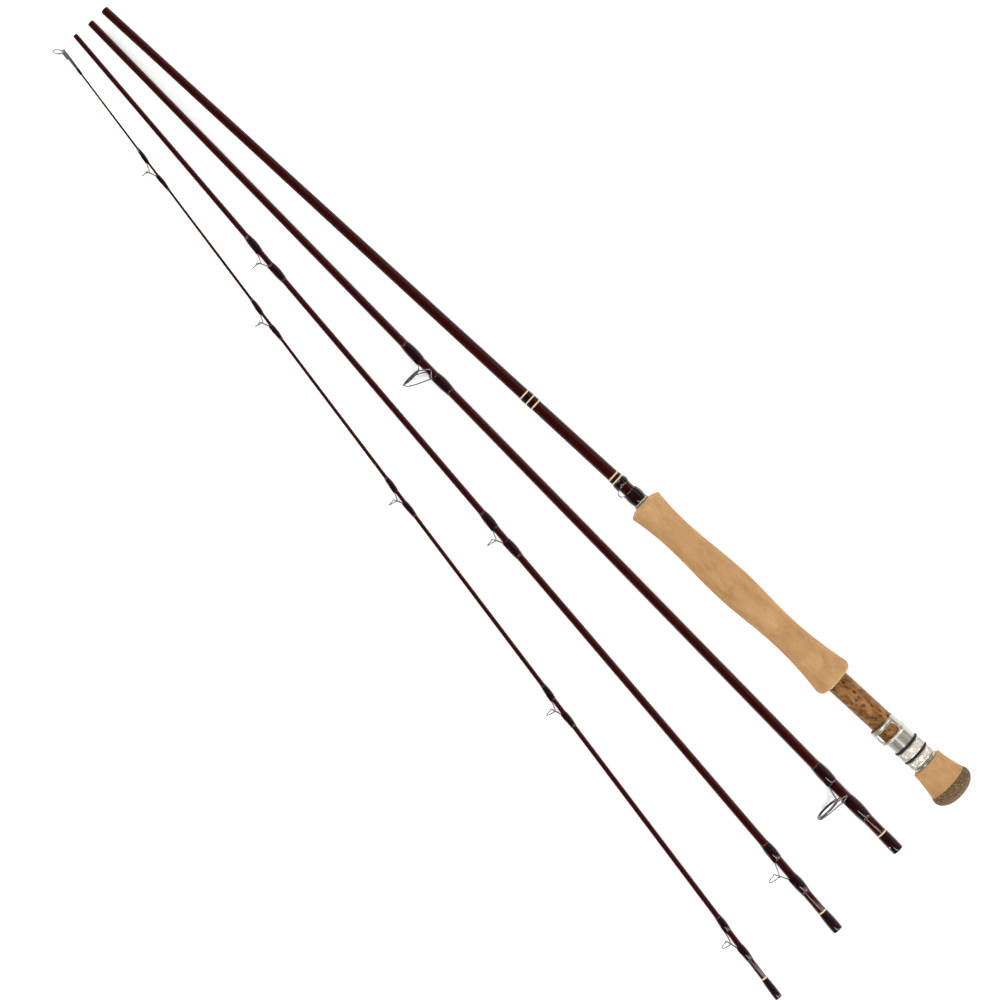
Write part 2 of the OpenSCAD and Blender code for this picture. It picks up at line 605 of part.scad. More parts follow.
module second_blank() color([0.2, 0.05, 0.07]) in_second() blank_with_socket(SECOND, BUTT[2]);
module second_ferrule_wrap() color([0.12, 0.05, 0.06]) in_second() ferrule_wrap(SECOND, second_ferrule);
module second_gold_band() color([0.85, 0.72, 0.42]) in_second() gold_band_after(SECOND, second_ferrule);
module lower_stripping_frame() color([0.75, 0.76, 0.78]) in_second() stripping_frame(SECOND, LOWER_GUIDE);
module lower_stripping_legs() color([0.75, 0.76, 0.78]) in_second() stripping_legs(SECOND, LOWER_GUIDE);
module lower_stripping_ring() color([0.12, 0.12, 0.13]) in_second() stripping_ring(LOWER_GUIDE);
module upper_stripping_frame() color([0.75, 0.76, 0.78]) in_second() stripping_frame(SECOND, UPPER_GUIDE);
module upper_stripping_legs() color([0.75, 0.76, 0.78]) in_second() stripping_legs(SECOND, UPPER_GUIDE);
module upper_stripping_ring() color([0.12, 0.12, 0.13]) in_second() stripping_ring(UPPER_GUIDE);
module second_guide_wraps() color([0.12, 0.05, 0.06]) in_second() {
    stripping_wraps(SECOND, LOWER_GUIDE);
    stripping_wraps(SECOND, UPPER_GUIDE);
}
module second_trim_bands() color([0.7, 0.58, 0.38]) in_second()
    for (g = [LOWER_GUIDE, UPPER_GUIDE]) {
        band(SECOND, g[0] - g[3] - g[5] - trim_width - glue, trim_width, wrap_edge);
        band(SECOND, g[0] + g[4] + g[6] + glue, trim_width, wrap_edge);
    }

// ---- third section ----

module third_blank() color([0.2, 0.05, 0.07]) in_third() blank_with_socket(THIRD, SECOND[2]);
module third_ferrule_wrap() color([0.12, 0.05, 0.06]) in_third() ferrule_wrap(THIRD, third_ferrule);
module third_gold_band() color([0.85, 0.72, 0.42]) in_third() gold_band_after(THIRD, third_ferrule);
module third_guide_wraps() color([0.12, 0.05, 0.06]) in_third()
    for (g = THIRD_SNAKES) snake_wraps(THIRD, g, third_wrap, wrap_bulge);
module third_trim_bands() color([0.7, 0.58, 0.38]) in_third()
    for (g = THIRD_SNAKES) trims_of(THIRD, g, third_wrap);
module third_snake(i) color([0.8, 0.8, 0.82]) in_third() snake_guide(THIRD, THIRD_SNAKES[i], third_wrap);
module third_snake_guide_1() third_snake(0);
module third_snake_guide_2() third_snake(1);
module third_snake_guide_3() third_snake(2);

// ---- tip section ----

module tip_blank() color([0.2, 0.05, 0.07]) in_tip() blank_with_socket(TIP, THIRD[2]);
module tip_ferrule_wrap() color([0.12, 0.05, 0.06]) in_tip() ferrule_wrap(TIP, tip_ferrule);
module tip_gold_band() color([0.85, 0.72, 0.42]) in_tip() gold_band_after(TIP, tip_ferrule);
module tip_guide_wraps() color([0.12, 0.05, 0.06]) in_tip() {
    for (g = TIP_SNAKES) snake_wraps(TIP, g, tip_wrap, tip_bulge);
    thread_wrap(TIP, tip_length - 7, tip_length - 1.6, 0.4, 0.3);
}
module tip_trim_bands() color([0.7, 0.58, 0.38]) in_tip()
    for (g = TIP_SNAKES) trims_of(TIP, g, tip_wrap);
module tip_snake(i) color([0.8, 0.8, 0.82]) in_tip() snake_guide(TIP, TIP_SNAKES[i], tip_wrap);
module tip_snake_guide_1() tip_snake(0);
module tip_snake_guide_2() tip_snake(1);
module tip_snake_guide_3() tip_snake(2);
module tip_snake_guide_4() tip_snake(3);
module tip_snake_guide_5() tip_snake(4);

// The tip-top: a tube slipped over the end of the blank, and a wire loop soldered to it
module tip_top_tube() color([0.8, 0.8, 0.82]) in_tip() difference() {
    rod(tip_tube_x, tip_tube_x + tip_tube_length, tip_tube_r);
    rod(tip_tube_x - 1, tip_length + 0.3, TIP[2] + glue);
}
tip_loop_x = tip_tube_x + tip_tube_length - 1;
function tip_loop_point(a) = let (along = tip_loop_r * (tip_loop_start + cos(a)))
    [tip_loop_x + along * cos(tip_loop_lean), tip_loop_r * sin(a), tip_loop_z + along * sin(tip_loop_lean)];
function tip_loop_path() = concat(
    [[tip_loop_x - tip_leg, -tip_leg_y, tip_loop_z]],
    [for (a = [-150 : 20 : 150]) tip_loop_point(a)],
    [[tip_loop_x - tip_leg, tip_leg_y, tip_loop_z]]);
module tip_top_loop() color([0.8, 0.8, 0.82]) in_tip()
    wire(tip_loop_path(), [for (p = tip_loop_path()) snake_wire_r]);

// ---- the nodes ----

butt_blank();
grip_cork_rings();
winding_check();
hook_keeper();
keeper_wraps();
butt_gold_bands();
butt_band_wraps();
fixed_hood();
seat_insert();
seat_arbors();
threaded_barrel();
end_collar();
butt_plug();
fighting_butt_cork();
fighting_butt_cap();
sliding_hood();
front_o_ring();
front_lock_nut();
rear_o_ring();
rear_lock_nut();
second_blank();
second_ferrule_wrap();
second_gold_band();
second_guide_wraps();
second_trim_bands();
lower_stripping_frame();
lower_stripping_legs();
lower_stripping_ring();
upper_stripping_frame();
upper_stripping_legs();
upper_stripping_ring();
third_blank();
third_ferrule_wrap();
third_gold_band();
third_guide_wraps();
third_trim_bands();
third_snake_guide_1();
third_snake_guide_2();
third_snake_guide_3();
tip_blank();
tip_ferrule_wrap();
tip_gold_band();
tip_guide_wraps();
tip_trim_bands();
tip_snake_guide_1();
tip_snake_guide_2();
tip_snake_guide_3();
tip_snake_guide_4();
tip_snake_guide_5();
tip_top_tube();
tip_top_loop();
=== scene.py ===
"""The looks of a four-piece fly rod, taken apart and laid out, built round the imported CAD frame.

Each section is built in a frame of its own, in millimetres: its butt end is at the origin, +X runs
along its axis towards the tip, and its guides stand up along +Z. The section's matrix lays it down.
"""

import json
import math

import bmesh
import bpy
import numpy as np
from mathutils import Matrix, Vector


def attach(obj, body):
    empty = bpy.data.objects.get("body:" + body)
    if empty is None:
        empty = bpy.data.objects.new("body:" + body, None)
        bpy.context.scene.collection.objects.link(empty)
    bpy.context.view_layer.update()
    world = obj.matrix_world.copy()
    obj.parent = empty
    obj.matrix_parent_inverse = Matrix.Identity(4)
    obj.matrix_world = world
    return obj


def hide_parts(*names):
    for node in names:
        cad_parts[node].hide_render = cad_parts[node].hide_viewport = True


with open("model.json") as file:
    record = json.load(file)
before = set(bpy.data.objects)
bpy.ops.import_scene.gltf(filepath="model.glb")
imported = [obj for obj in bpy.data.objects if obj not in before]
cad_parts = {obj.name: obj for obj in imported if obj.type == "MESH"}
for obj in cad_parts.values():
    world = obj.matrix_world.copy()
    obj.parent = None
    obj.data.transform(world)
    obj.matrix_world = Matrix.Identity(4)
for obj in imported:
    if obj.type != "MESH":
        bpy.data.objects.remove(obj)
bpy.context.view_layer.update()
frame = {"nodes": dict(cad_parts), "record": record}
record = frame["record"]

MM = 0.001
TURN = 2 * math.pi
SHARP_EDGE = math.radians(32)

# ---------------------------------------------------------------- dimensions, in millimetres

GUIDE_ROLL = math.radians(20)

# Each section: length, blank radius at the butt end and at the tip end, length of the male ferrule,
# its CAD body, and the mount that says where it lies: (name, place along the axis, way it points)
SECTIONS = {
    "butt": dict(length=751, butt_r=5.4, tip_r=2.85, male=50, wall=0.8, roll=0, body="butt_section",
                 mount=("butt_male_ferrule", 726, 1)),
    "second": dict(length=751, butt_r=3.65, tip_r=2.35, male=50, wall=0.6, roll=GUIDE_ROLL,
                   body="second_section", mount=("second_socket", 26, -1)),
    "third": dict(length=764, butt_r=2.95, tip_r=1.65, male=50, wall=0.45, roll=GUIDE_ROLL,
                  body="third_section", mount=("third_socket", 26, -1)),
    "tip": dict(length=759, butt_r=2.05, tip_r=0.6, male=0, wall=0.3, roll=GUIDE_ROLL,
                body="tip_section", mount=("tip_socket", 26, -1)),
}
SOCKET_DEPTH = 52
GLUE = 0.02  # gap between two glued pieces
SOCKET_GAP = 0.03

GRIP_START, GRIP_LENGTH, GRIP_RINGS = 109, 169, 13
GRIP_END = GRIP_START + GRIP_LENGTH
GRIP_REAR_EDGE, GRIP_REAR_WAIST, GRIP_SWELL = 113.7, 155.5, 199
GRIP_FRONT_WAIST, GRIP_FRONT_EDGE = 248, 275.2
GRIP_REAR_R, GRIP_WAIST_R, GRIP_SWELL_R, GRIP_FRONT_R = 13.8, 10.15, 12.0, 12.3

BUTT_CAP_LENGTH, BUTT_FRONT = 11.9, 30.3
BUTT_RIM_R, BUTT_JOIN_R, BUTT_FRONT_R = 15.4, 14.4, 11.35
BUTT_RIM_X = 8.5

INSERT_R, THREAD_R, THREAD_PITCH = 7.95, 7.75, 1.25
THREAD_START, THREAD_END = 33, 55.5
SEAT_BORE_R = 6.2
BARREL_FRONT, INSERT_FRONT = 57, 123
NUT_R, NUT_BORE_R, O_RING_R = 9.3, 7.8, 0.75
HOOD_BORE_R, HOOD_WALL, POCKET_R, POCKET_SHIFT = 8.0, 0.65, 8.5, 1.45
HOOD_MIDDLE_R = 8.8  # turns a distance along the hood's wall into an angle
KNURLS = 46
KEEPER_REAR, KEEPER_FRONT = 289.4, 294.6
# Where the gold and tan bands on the butt blank start
BUTT_GOLDS, BUTT_TANS = (303.2, 371.4, 381.1), (299.9, 376.2)

SNAKE_WIRE_R = 0.4
LOOP_OPEN = math.radians(140)
LOOP_DRIFT = -2
WRAP_EDGE = 0.25
TRIM_WIDTH = 0.9
FOOT_THICK, BRACE_R = 0.5, 0.45
BRACE_ANGLE = math.radians(38)
BRACE_FALL, BRACE_START = 5, 0.7

# Rings of the rounded end of a wire: how far past the path's end, and how wide, in radii
CAPS = [(0.35, 0.94), (0.75, 0.66), (0.95, 0.3)]

# Stripping guides on the second section: place, holder's radius, its centre above the axis,
# gaps to the rear and front wraps, lengths of the rear and front wraps, how far the side wires dip
STRIPPING = {
    "lower": dict(x=52, r=9.3, height=15.4, rear_gap=5, front_gap=9.5, rear_wrap=17, front_wrap=15,
                  dip=math.radians(55)),
    "upper": dict(x=440, r=7.6, height=12.9, rear_gap=10, front_gap=3.5, rear_wrap=13.5, front_wrap=15,
                  dip=math.radians(50)),
}
# Snake guides: place, gap between wraps, loop's centre above the axis, loop's outer radius
SNAKES = {
    "third": [(53, 15, 10.6, 4.2), (337.5, 11, 8.4, 3.9), (573.3, 11, 7.9, 3.7)],
    "tip": [(48.4, 12.8, 7.1, 3.7), (237.5, 11, 6.9, 3.6), (408, 9, 6.5, 3.5), (552.6, 10, 6.3, 3.3),
            (675, 11, 5.9, 3.1)],
}
SNAKE_WRAP = {"third": 12.5, "tip": 10.5}
WRAP_BULGE = {"butt": 0.85, "second": 0.85, "third": 0.85, "tip": 0.65}


def smooth(a, b, u):
    """From a to b with a slow start and a slow end, as u goes from 0 to 1."""
    return a + (b - a) * (1 - math.cos(math.pi * min(max(u, 0), 1))) / 2


def blank_r(section, x):
    """Outer radius of a section's blank: a straight taper, then a cylindrical male end."""
    s = SECTIONS[section]
    straight = s["length"] - s["male"]
    return s["butt_r"] + (s["tip_r"] - s["butt_r"]) * min(x, straight) / straight


def section_matrix(section):
    """Where a section lies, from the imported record's own mount on it."""
    s = SECTIONS[section]
    name, along, way = s["mount"]
    mount = next(m for m in record["mounts"] if m["name"] == name)
    axis = Vector(mount["axis"]).normalized() * way
    yaw = math.atan2(axis.y, axis.x)
    tilt = -math.asin(axis.z)
    turn = (Matrix.Rotation(yaw, 4, "Z") @ Matrix.Rotation(tilt, 4, "Y")
            @ Matrix.Rotation(s["roll"] - math.pi / 2, 4, "X"))
    return Matrix.Translation(Vector(mount["pos_m"]) - axis * along * MM) @ turn


MATRICES = {name: section_matrix(name) for name in SECTIONS}

# ---------------------------------------------------------------- mesh building


def rounded(points, radius, steps=3):
    """An outline with each inner corner turned into an arc of about that radius."""
    out = [points[0]]
    for before, corner, after in zip(points, points[1:], points[2:]):
        p, q, r = (np.array(v, float) for v in (before, corner, after))
        back, on = p - q, r - q
        reach = min(radius, np.linalg.norm(back) * 0.45, np.linalg.norm(on) * 0.45)
        a = q + back / np.linalg.norm(back) * reach
        b = q + on / np.linalg.norm(on) * reach
        for i in range(steps + 1):
            t = i / steps
            out.append(tuple((1 - t) ** 2 * a + 2 * t * (1 - t) * q + t * t * b))
    out.append(points[-1])
    return out


def dense(points, step):
    """An outline with points added so that none of its stretches is longer than step."""
    out = []
    for a, b in zip(points, points[1:]):
        n = max(1, math.ceil(math.dist(a, b) / step))
        out += [tuple(np.array(a) + (np.array(b) - np.array(a)) * i / n) for i in range(n)]
    return out + [points[-1]]


def revolve(outline, segments=96, closed=True, shape=None):
    """Vertices and faces of an outline of (x, radius) points turned about the X axis.
    Angle 0 is +Z and it grows towards -Y. shape(x, angle, radius) may change each vertex's radius."""
    angles = [TURN * k / segments for k in range(segments)]
    verts = []
    rings = []
    for x, r in outline:
        if r < 1e-6:
            rings.append([len(verts)] * segments)
            verts.append((x, 0, 0))
            continue
        rings.append(list(range(len(verts), len(verts) + segments)))
        for a in angles:
            rr = shape(x, a, r) if shape else r
            verts.append((x, -rr * math.sin(a), rr * math.cos(a)))
    faces = []
    pairs = list(zip(rings, rings[1:])) + ([(rings[-1], rings[0])] if closed else [])
    for low, high in pairs:
        for k in range(segments):
            n = (k + 1) % segments
            face = []
            for v in (low[k], high[k], high[n], low[n]):
                if v not in face:
                    face.append(v)
            if len(face) > 2:
                faces.append(face)
    return verts, faces


def spline(points, per_span=8):
    """Smooth curve through points, as (Catmull-Rom) samples."""
    p = [np.array(v, float) for v in points]
    p = [2 * p[0] - p[1]] + p + [2 * p[-1] - p[-2]]
    out = []
    for a, b, c, d in zip(p, p[1:], p[2:], p[3:]):
        for i in range(per_span):
            t = i / per_span
            out.append(0.5 * (2 * b + (c - a) * t + (2 * a - 5 * b + 4 * c - d) * t * t
                              + (3 * b - a - 3 * c + d) * t ** 3))
    return np.array(out + [p[-2]])


def bezier(a, b, c, d, steps=20):
    t = np.linspace(0, 1, steps + 1)[:, None]
    a, b, c, d = (np.array(v, float) for v in (a, b, c, d))
    return (1 - t) ** 3 * a + 3 * (1 - t) ** 2 * t * b + 3 * (1 - t) * t * t * c + t ** 3 * d


def cut_back(path, radii):
    """A path less the length at each end that a rounded cap puts back."""
    along = np.concatenate([[0], np.cumsum(np.linalg.norm(np.diff(path, axis=0), axis=1))])
    low, high = CAPS[-1][0] * radii[0], along[-1] - CAPS[-1][0] * radii[-1]
    kept = [low] + [s for s in along if low + 0.02 < s < high - 0.02] + [high]
    return np.array([np.interp(kept, along, path[:, i]) for i in range(3)]).T, np.interp(kept, along, radii)


def sweep(path, radius, sides=16):
    """Wire along a path, with rounded ends. radius is one number, or one for each point."""
    path = np.array(path, float)
    path, radii = cut_back(path, np.broadcast_to(np.array(radius, float), (len(path),)))
    tangents = np.gradient(path, axis=0)
    tangents /= np.linalg.norm(tangents, axis=1)[:, None]
    normal = np.cross(tangents[0], [0.31, 0.9, 0.21])
    normal /= np.linalg.norm(normal)
    rings = []
    for i, (p, t) in enumerate(zip(path, tangents)):
        normal = normal - t * np.dot(normal, t)
        normal /= np.linalg.norm(normal)
        rings.append((p, t, normal.copy(), radii[i]))
    p, t, n, r = rings[0]
    first = [(p - t * r * along, t, n, r * wide) for along, wide in reversed(CAPS)]
    p, t, n, r = rings[-1]
    last = [(p + t * r * along, t, n, r * wide) for along, wide in CAPS]
    rings = first + rings + last
    verts, faces = [], []
    for p, t, n, r in rings:
        side = np.cross(t, n)
        for k in range(sides):
            a = TURN * k / sides
            verts.append(tuple(p + r * (n * math.cos(a) + side * math.sin(a))))
    for i in range(len(rings) - 1):
        for k in range(sides):
            m = (k + 1) % sides
            faces.append([i * sides + k, (i + 1) * sides + k, (i + 1) * sides + m, i * sides + m])
    faces.append(list(range(sides)))
    faces.append([(len(rings) - 1) * sides + k for k in reversed(range(sides))])
    return verts, faces


def joined(*parts):
    """Several (vertices, faces) meshes as one."""
    verts, faces = [], []
    for v, f in parts:
        faces += [[i + len(verts) for i in face] for face in f]
        verts += list(v)
    return verts, faces


def moved(mesh, matrix):
    verts, faces = mesh
    return [tuple(matrix @ Vector(v)) for v in verts], faces


def piece(name, mesh, section, material, body=None):
    """Makes an object of a mesh in millimetres in a section's frame, laid down with that section, and
    hangs it on its CAD body. It replaces the CAD node of its name, if any. Its attribute "local" keeps
    where each vertex is in the section's frame."""
    verts, faces = mesh
    lay = MATRICES[section] @ Matrix.Scale(MM, 4)
    data = bpy.data.meshes.new(name)
    data.from_pydata([tuple(lay @ Vector(v)) for v in verts], [], faces)
    bm = bmesh.new()
    bm.from_mesh(data)
    bmesh.ops.recalc_face_normals(bm, faces=bm.faces)
    for edge in bm.edges:
        edge.smooth = len(edge.link_faces) == 2 and edge.calc_face_angle(0) < SHARP_EDGE
    for face in bm.faces:
        face.smooth = True
    bm.to_mesh(data)
    bm.free()
    local = data.attributes.new("local", "FLOAT_VECTOR", "POINT")
    local.data.foreach_set("vector", np.array(verts, float).ravel())
    data.materials.append(material)
    obj = bpy.data.objects.new(name, data)
    bpy.context.scene.collection.objects.link(obj)
    nodes = [name] if name in frame["nodes"] else []
    if nodes:
        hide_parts(*nodes)
    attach(obj, body or SECTIONS[section]["body"])


# ---------------------------------------------------------------- materials


def linear(r, g, b):
    """A colour given as it looks on screen, from 0 to 255, as scene-linear."""
    def one(c):
        c /= 255
        return c / 12.92 if c <= 0.04045 else ((c + 0.055) / 1.055) ** 2.4
    return (one(r), one(g), one(b), 1)


def feed(tree, socket, value):
    """Gives an input its value: a number, a colour or another node's output."""
    if isinstance(value, bpy.types.NodeSocket):
        tree.links.new(value, socket)
    else:
        socket.default_value = value


def add(tree, kind, settings=None, **inputs):
    """Adds a shader node with its settings and inputs."""
    node = tree.nodes.new(kind)
    for key, value in (settings or {}).items():
        setattr(node, key, value)
    for key, value in inputs.items():
        feed(tree, node.inputs[key.replace("_", " ")], value)
    return node


def mix(tree, factor, a, b, mode="MIX"):
    """The blend of two colours."""
    node = tree.nodes.new("ShaderNodeMix")
    node.data_type = "RGBA"
    node.blend_type = mode
    node.clamp_result = False
    for i, value in ((0, factor), (6, a), (7, b)):
        feed(tree, node.inputs[i], value)
    return node.outputs[2]


def maths(tree, operation, a, b=0.0):
    node = tree.nodes.new("ShaderNodeMath")
    node.operation = operation
    for socket, value in zip(node.inputs, (a, b)):
        feed(tree, socket, value)
    return node.outputs[0]


def ramp(tree, value, *stops):
    """A colour ramp of (place, colour) stops."""
    node = tree.nodes.new("ShaderNodeValToRGB")
    tree.links.new(value, node.inputs[0])
    elements = node.color_ramp.elements
    while len(elements) < len(stops):
        elements.new(0.5)
    for element, (place, colour) in zip(elements, stops):
        element.position = place
        element.color = colour if len(colour) == 4 else (*colour, 1)
    return node.outputs[0]


def material(name):
    """A new material: (material, node tree, its main shader)."""
    made = bpy.data.materials.new(name)
    made.use_nodes = True
    tree = made.node_tree
    shader = next(n for n in tree.nodes if n.type == "BSDF_PRINCIPLED")
    return made, tree, shader


def wire_up(tree, shader, **inputs):
    for key, value in inputs.items():
        feed(tree, shader.inputs[key.replace("_", " ")], value)


def along_section(tree, scale=(1, 1, 1)):
    """Position in the section's own frame in millimetres, stretched by scale."""
    place = add(tree, "ShaderNodeAttribute", {"attribute_name": "local"}).outputs["Vector"]
    return add(tree, "ShaderNodeMapping", Vector=place, Scale=scale).outputs[0]


def in_row(tree):
    """Position in the layout's frame in millimetres."""
    place = add(tree, "ShaderNodeTexCoord").outputs["Object"]
    return add(tree, "ShaderNodeMapping", Vector=place, Scale=(1 / MM, 1 / MM, 1 / MM)).outputs[0]


def noise(tree, vector, scale, detail=4.0, roughness=0.55, distortion=0.0):
    return add(tree, "ShaderNodeTexNoise", Vector=vector, Scale=scale, Detail=detail, Roughness=roughness,
               Distortion=distortion).outputs["Fac"]


def bump(tree, height, distance, strength=1.0):
    """Surface relief: height from 0 to 1 stands for that distance in metres."""
    return add(tree, "ShaderNodeBump", Height=height, Distance=distance, Strength=strength).outputs[0]


def make_cork():
    """Sanded natural cork rings: warm tan, each ring a little different, with dark pores."""
    made, tree, shader = material("cork")
    at = along_section(tree)
    stretched = along_section(tree, (0.45, 1, 1))
    x = add(tree, "ShaderNodeSeparateXYZ", Vector=at).outputs["X"]
    ring = maths(tree, "FLOOR", maths(tree, "DIVIDE", maths(tree, "SUBTRACT", x, float(GRIP_START)),
                                      GRIP_LENGTH / GRIP_RINGS))
    tone = add(tree, "ShaderNodeTexWhiteNoise", {"noise_dimensions": "1D"}, W=ring).outputs["Value"]
    mottle = noise(tree, stretched, 0.16, 6, 0.6, 0.4)
    base = ramp(tree, mottle, (0.3, linear(168, 126, 82)), (0.5, linear(182, 141, 94)),
                (0.72, linear(192, 152, 106)))
    toned = mix(tree, tone, base, mix(tree, 1.0, base, linear(247, 243, 238), "MULTIPLY"))
    grain = noise(tree, along_section(tree, (1, 1, 0.5)), 1.7, 5, 0.7)
    toned = mix(tree, 0.35, toned, mix(tree, 1.0, toned, ramp(
        tree, grain, (0.3, linear(188, 178, 166)), (0.6, linear(255, 255, 255))), "MULTIPLY"))
    pores = ramp(tree, noise(tree, along_section(tree, (1, 0.55, 0.55)), 0.62, 3, 0.65, 1.2),
                 (0.3, (1, 1, 1)), (0.37, (0, 0, 0)))
    fine = ramp(tree, noise(tree, at, 2.6, 2, 0.5), (0.27, (1, 1, 1)), (0.33, (0, 0, 0)))
    dark = maths(tree, "MAXIMUM", pores, maths(tree, "MULTIPLY", fine, 0.6))
    colour = mix(tree, maths(tree, "MULTIPLY", dark, 0.3), toned, linear(126, 88, 54))
    relief = maths(tree, "SUBTRACT", maths(tree, "MULTIPLY", grain, 0.4), dark)
    wire_up(tree, shader, Base_Color=colour, Roughness=0.72, Normal=bump(tree, relief, 0.00012, 0.7),
            Specular_IOR_Level=0.25)
    return made


def make_composite_cork():
    """Dark composite cork: brown crumbs of several tones pressed together."""
    made, tree, shader = material("composite_cork")
    at = along_section(tree)
    crumbs = add(tree, "ShaderNodeTexVoronoi", Vector=at, Scale=1.0, Randomness=1.0)
    tone = add(tree, "ShaderNodeSeparateColor", Color=crumbs.outputs["Color"]).outputs[0]
    base = ramp(tree, tone, (0.1, linear(84, 66, 44)), (0.5, linear(100, 80, 54)),
                (0.85, linear(112, 88, 58)), (0.97, linear(134, 106, 70)))
    fine = noise(tree, at, 1.4, 5, 0.7)
    colour = mix(tree, 0.5, base, mix(tree, 1.0, base, ramp(
        tree, fine, (0.3, linear(150, 144, 130)), (0.65, linear(255, 250, 240))), "MULTIPLY"))
    edge = ramp(tree, crumbs.outputs["Distance"], (0.0, (0, 0, 0)), (0.7, (1, 1, 1)))
    relief = maths(tree, "ADD", maths(tree, "MULTIPLY", fine, 0.6), maths(tree, "MULTIPLY", edge, -0.3))
    wire_up(tree, shader, Base_Color=colour, Roughness=0.7, Normal=bump(tree, relief, 0.00015, 0.6),
            Specular_IOR_Level=0.25)
    return made


def make_burl():
    """Figured burl under gloss varnish: orange-brown swirls with dark eyes."""
    made, tree, shader = material("burl")
    at = along_section(tree, (0.7, 1, 1))
    swirl = noise(tree, at, 0.13, 7, 0.62, 2.6)
    base = ramp(tree, swirl, (0.25, linear(72, 40, 14)), (0.42, linear(118, 78, 38)),
                (0.55, linear(144, 101, 58)), (0.7, linear(164, 119, 72)), (0.8, linear(114, 72, 32)))
    lines = noise(tree, along_section(tree, (0.25, 1, 1)), 0.9, 4, 0.6, 1.5)
    veined = mix(tree, 0.4, base, mix(tree, 1.0, base, ramp(
        tree, lines, (0.35, linear(150, 118, 86)), (0.6, linear(255, 255, 255))), "MULTIPLY"))
    eyes = add(tree, "ShaderNodeTexVoronoi", Vector=at, Scale=0.3, Randomness=1.0)
    near = ramp(tree, eyes.outputs["Distance"], (0.14, (1, 1, 1)), (0.34, (0, 0, 0)))
    colour = mix(tree, maths(tree, "MULTIPLY", near, 0.8), veined, linear(66, 32, 10))
    wire_up(tree, shader, Base_Color=colour, Roughness=0.42, Coat_Weight=0.6, Coat_Roughness=0.3,
            Specular_IOR_Level=0.0, Normal=bump(tree, lines, 0.00003, 0.3))
    return made


def make_varnished(name, colour, flake, thread, metallic=0.0, roughness=0.35):
    """Gloss varnish over thread or graphite: a base colour with a second tone in it, and a fine relief
    of turns with that pitch in millimetres, or none if thread is 0."""
    made, tree, shader = material(name)
    at = along_section(tree)
    cloud = noise(tree, along_section(tree, (0.1, 1, 1)), 0.8, 4, 0.6)
    tone = mix(tree, ramp(tree, cloud, (0.35, (0, 0, 0)), (0.7, (1, 1, 1))), colour, flake)
    wire_up(tree, shader, Base_Color=tone, Metallic=metallic, Roughness=roughness, Coat_Weight=1.0,
            Coat_Roughness=0.06, Specular_IOR_Level=0.0)
    if thread:
        x = add(tree, "ShaderNodeSeparateXYZ", Vector=at).outputs["X"]
        turns = maths(tree, "SINE", maths(tree, "MULTIPLY", x, TURN / thread))
        wire_up(tree, shader, Normal=bump(tree, turns, thread * MM * 0.12, 0.5))
    return made


def make_metal(name, colour, roughness, brushed=0.0, metallic=1.0):
    """Metal, with fine lathe lines round the section's axis where brushed is above 0, and with a satin
    anodised skin where metallic is below 1."""
    made, tree, shader = material(name)
    at = along_section(tree)
    wear = noise(tree, at, 0.9, 5, 0.65)
    uneven = maths(tree, "MULTIPLY", maths(tree, "SUBTRACT", wear, 0.5), 0.15)
    rough = maths(tree, "ADD", roughness, uneven)
    tone = mix(tree, 0.5, colour, mix(tree, 1.0, colour, ramp(
        tree, wear, (0.3, linear(225, 225, 225)), (0.7, linear(255, 255, 255))), "MULTIPLY"))
    wire_up(tree, shader, Base_Color=tone, Metallic=metallic, Roughness=rough)
    if brushed:
        lines = noise(tree, along_section(tree, (1, 0.02, 0.02)), 9.0, 3, 0.7)
        wire_up(tree, shader, Normal=bump(tree, lines, 0.00001, brushed))
    return made


def make_rubber():
    made, tree, shader = material("o_ring_rubber")
    at = along_section(tree)
    dust = noise(tree, at, 1.3, 5, 0.6)
    colour = ramp(tree, dust, (0.35, linear(9, 9, 8)), (0.75, linear(18, 17, 15)))
    wire_up(tree, shader, Base_Color=colour, Roughness=0.5, Specular_IOR_Level=0.25,
            Normal=bump(tree, dust, 0.00002, 0.4))
    return made


def make_arbor():
    made, tree, shader = material("arbor")
    at = in_row(tree)
    foam = noise(tree, at, 1.1, 4, 0.6)
    colour = ramp(tree, foam, (0.3, linear(196, 184, 154)), (0.7, linear(222, 212, 184)))
    wire_up(tree, shader, Base_Color=colour, Roughness=0.8, Normal=bump(tree, foam, 0.0001, 0.5))
    return made


CORK = make_cork()
COMPOSITE = make_composite_cork()
BURL = make_burl()
BLANK = make_varnished("blank", linear(42, 4, 4), linear(50, 7, 6), 0, 0.0, 0.3)
WRAP = make_varnished("wrap", linear(24, 6, 9), linear(34, 9, 11), 0.22, 0.0, 0.35)
GOLD = make_varnished("gold", linear(214, 188, 142), linear(226, 206, 168), 0.22, 0.1, 0.3)
TAN = make_varnished("tan", linear(70, 34, 28), linear(90, 50, 41), 0.22, 0.0, 0.35)
SILVER = make_metal("polished_metal", (0.56, 0.53, 0.46, 1), 0.3, 0.3, 0.75)
GUIDE = make_metal("guide_metal", (0.2, 0.19, 0.19, 1), 0.3)
DARK_RING = make_metal("dark_ring", (0.04, 0.04, 0.042, 1), 0.2)
RUBBER = make_rubber()
ARBOR = make_arbor()
DOT = make_varnished("dot", linear(232, 226, 214), linear(244, 240, 232), 0, 0.0, 0.4)

# ---------------------------------------------------------------- pieces that every section has


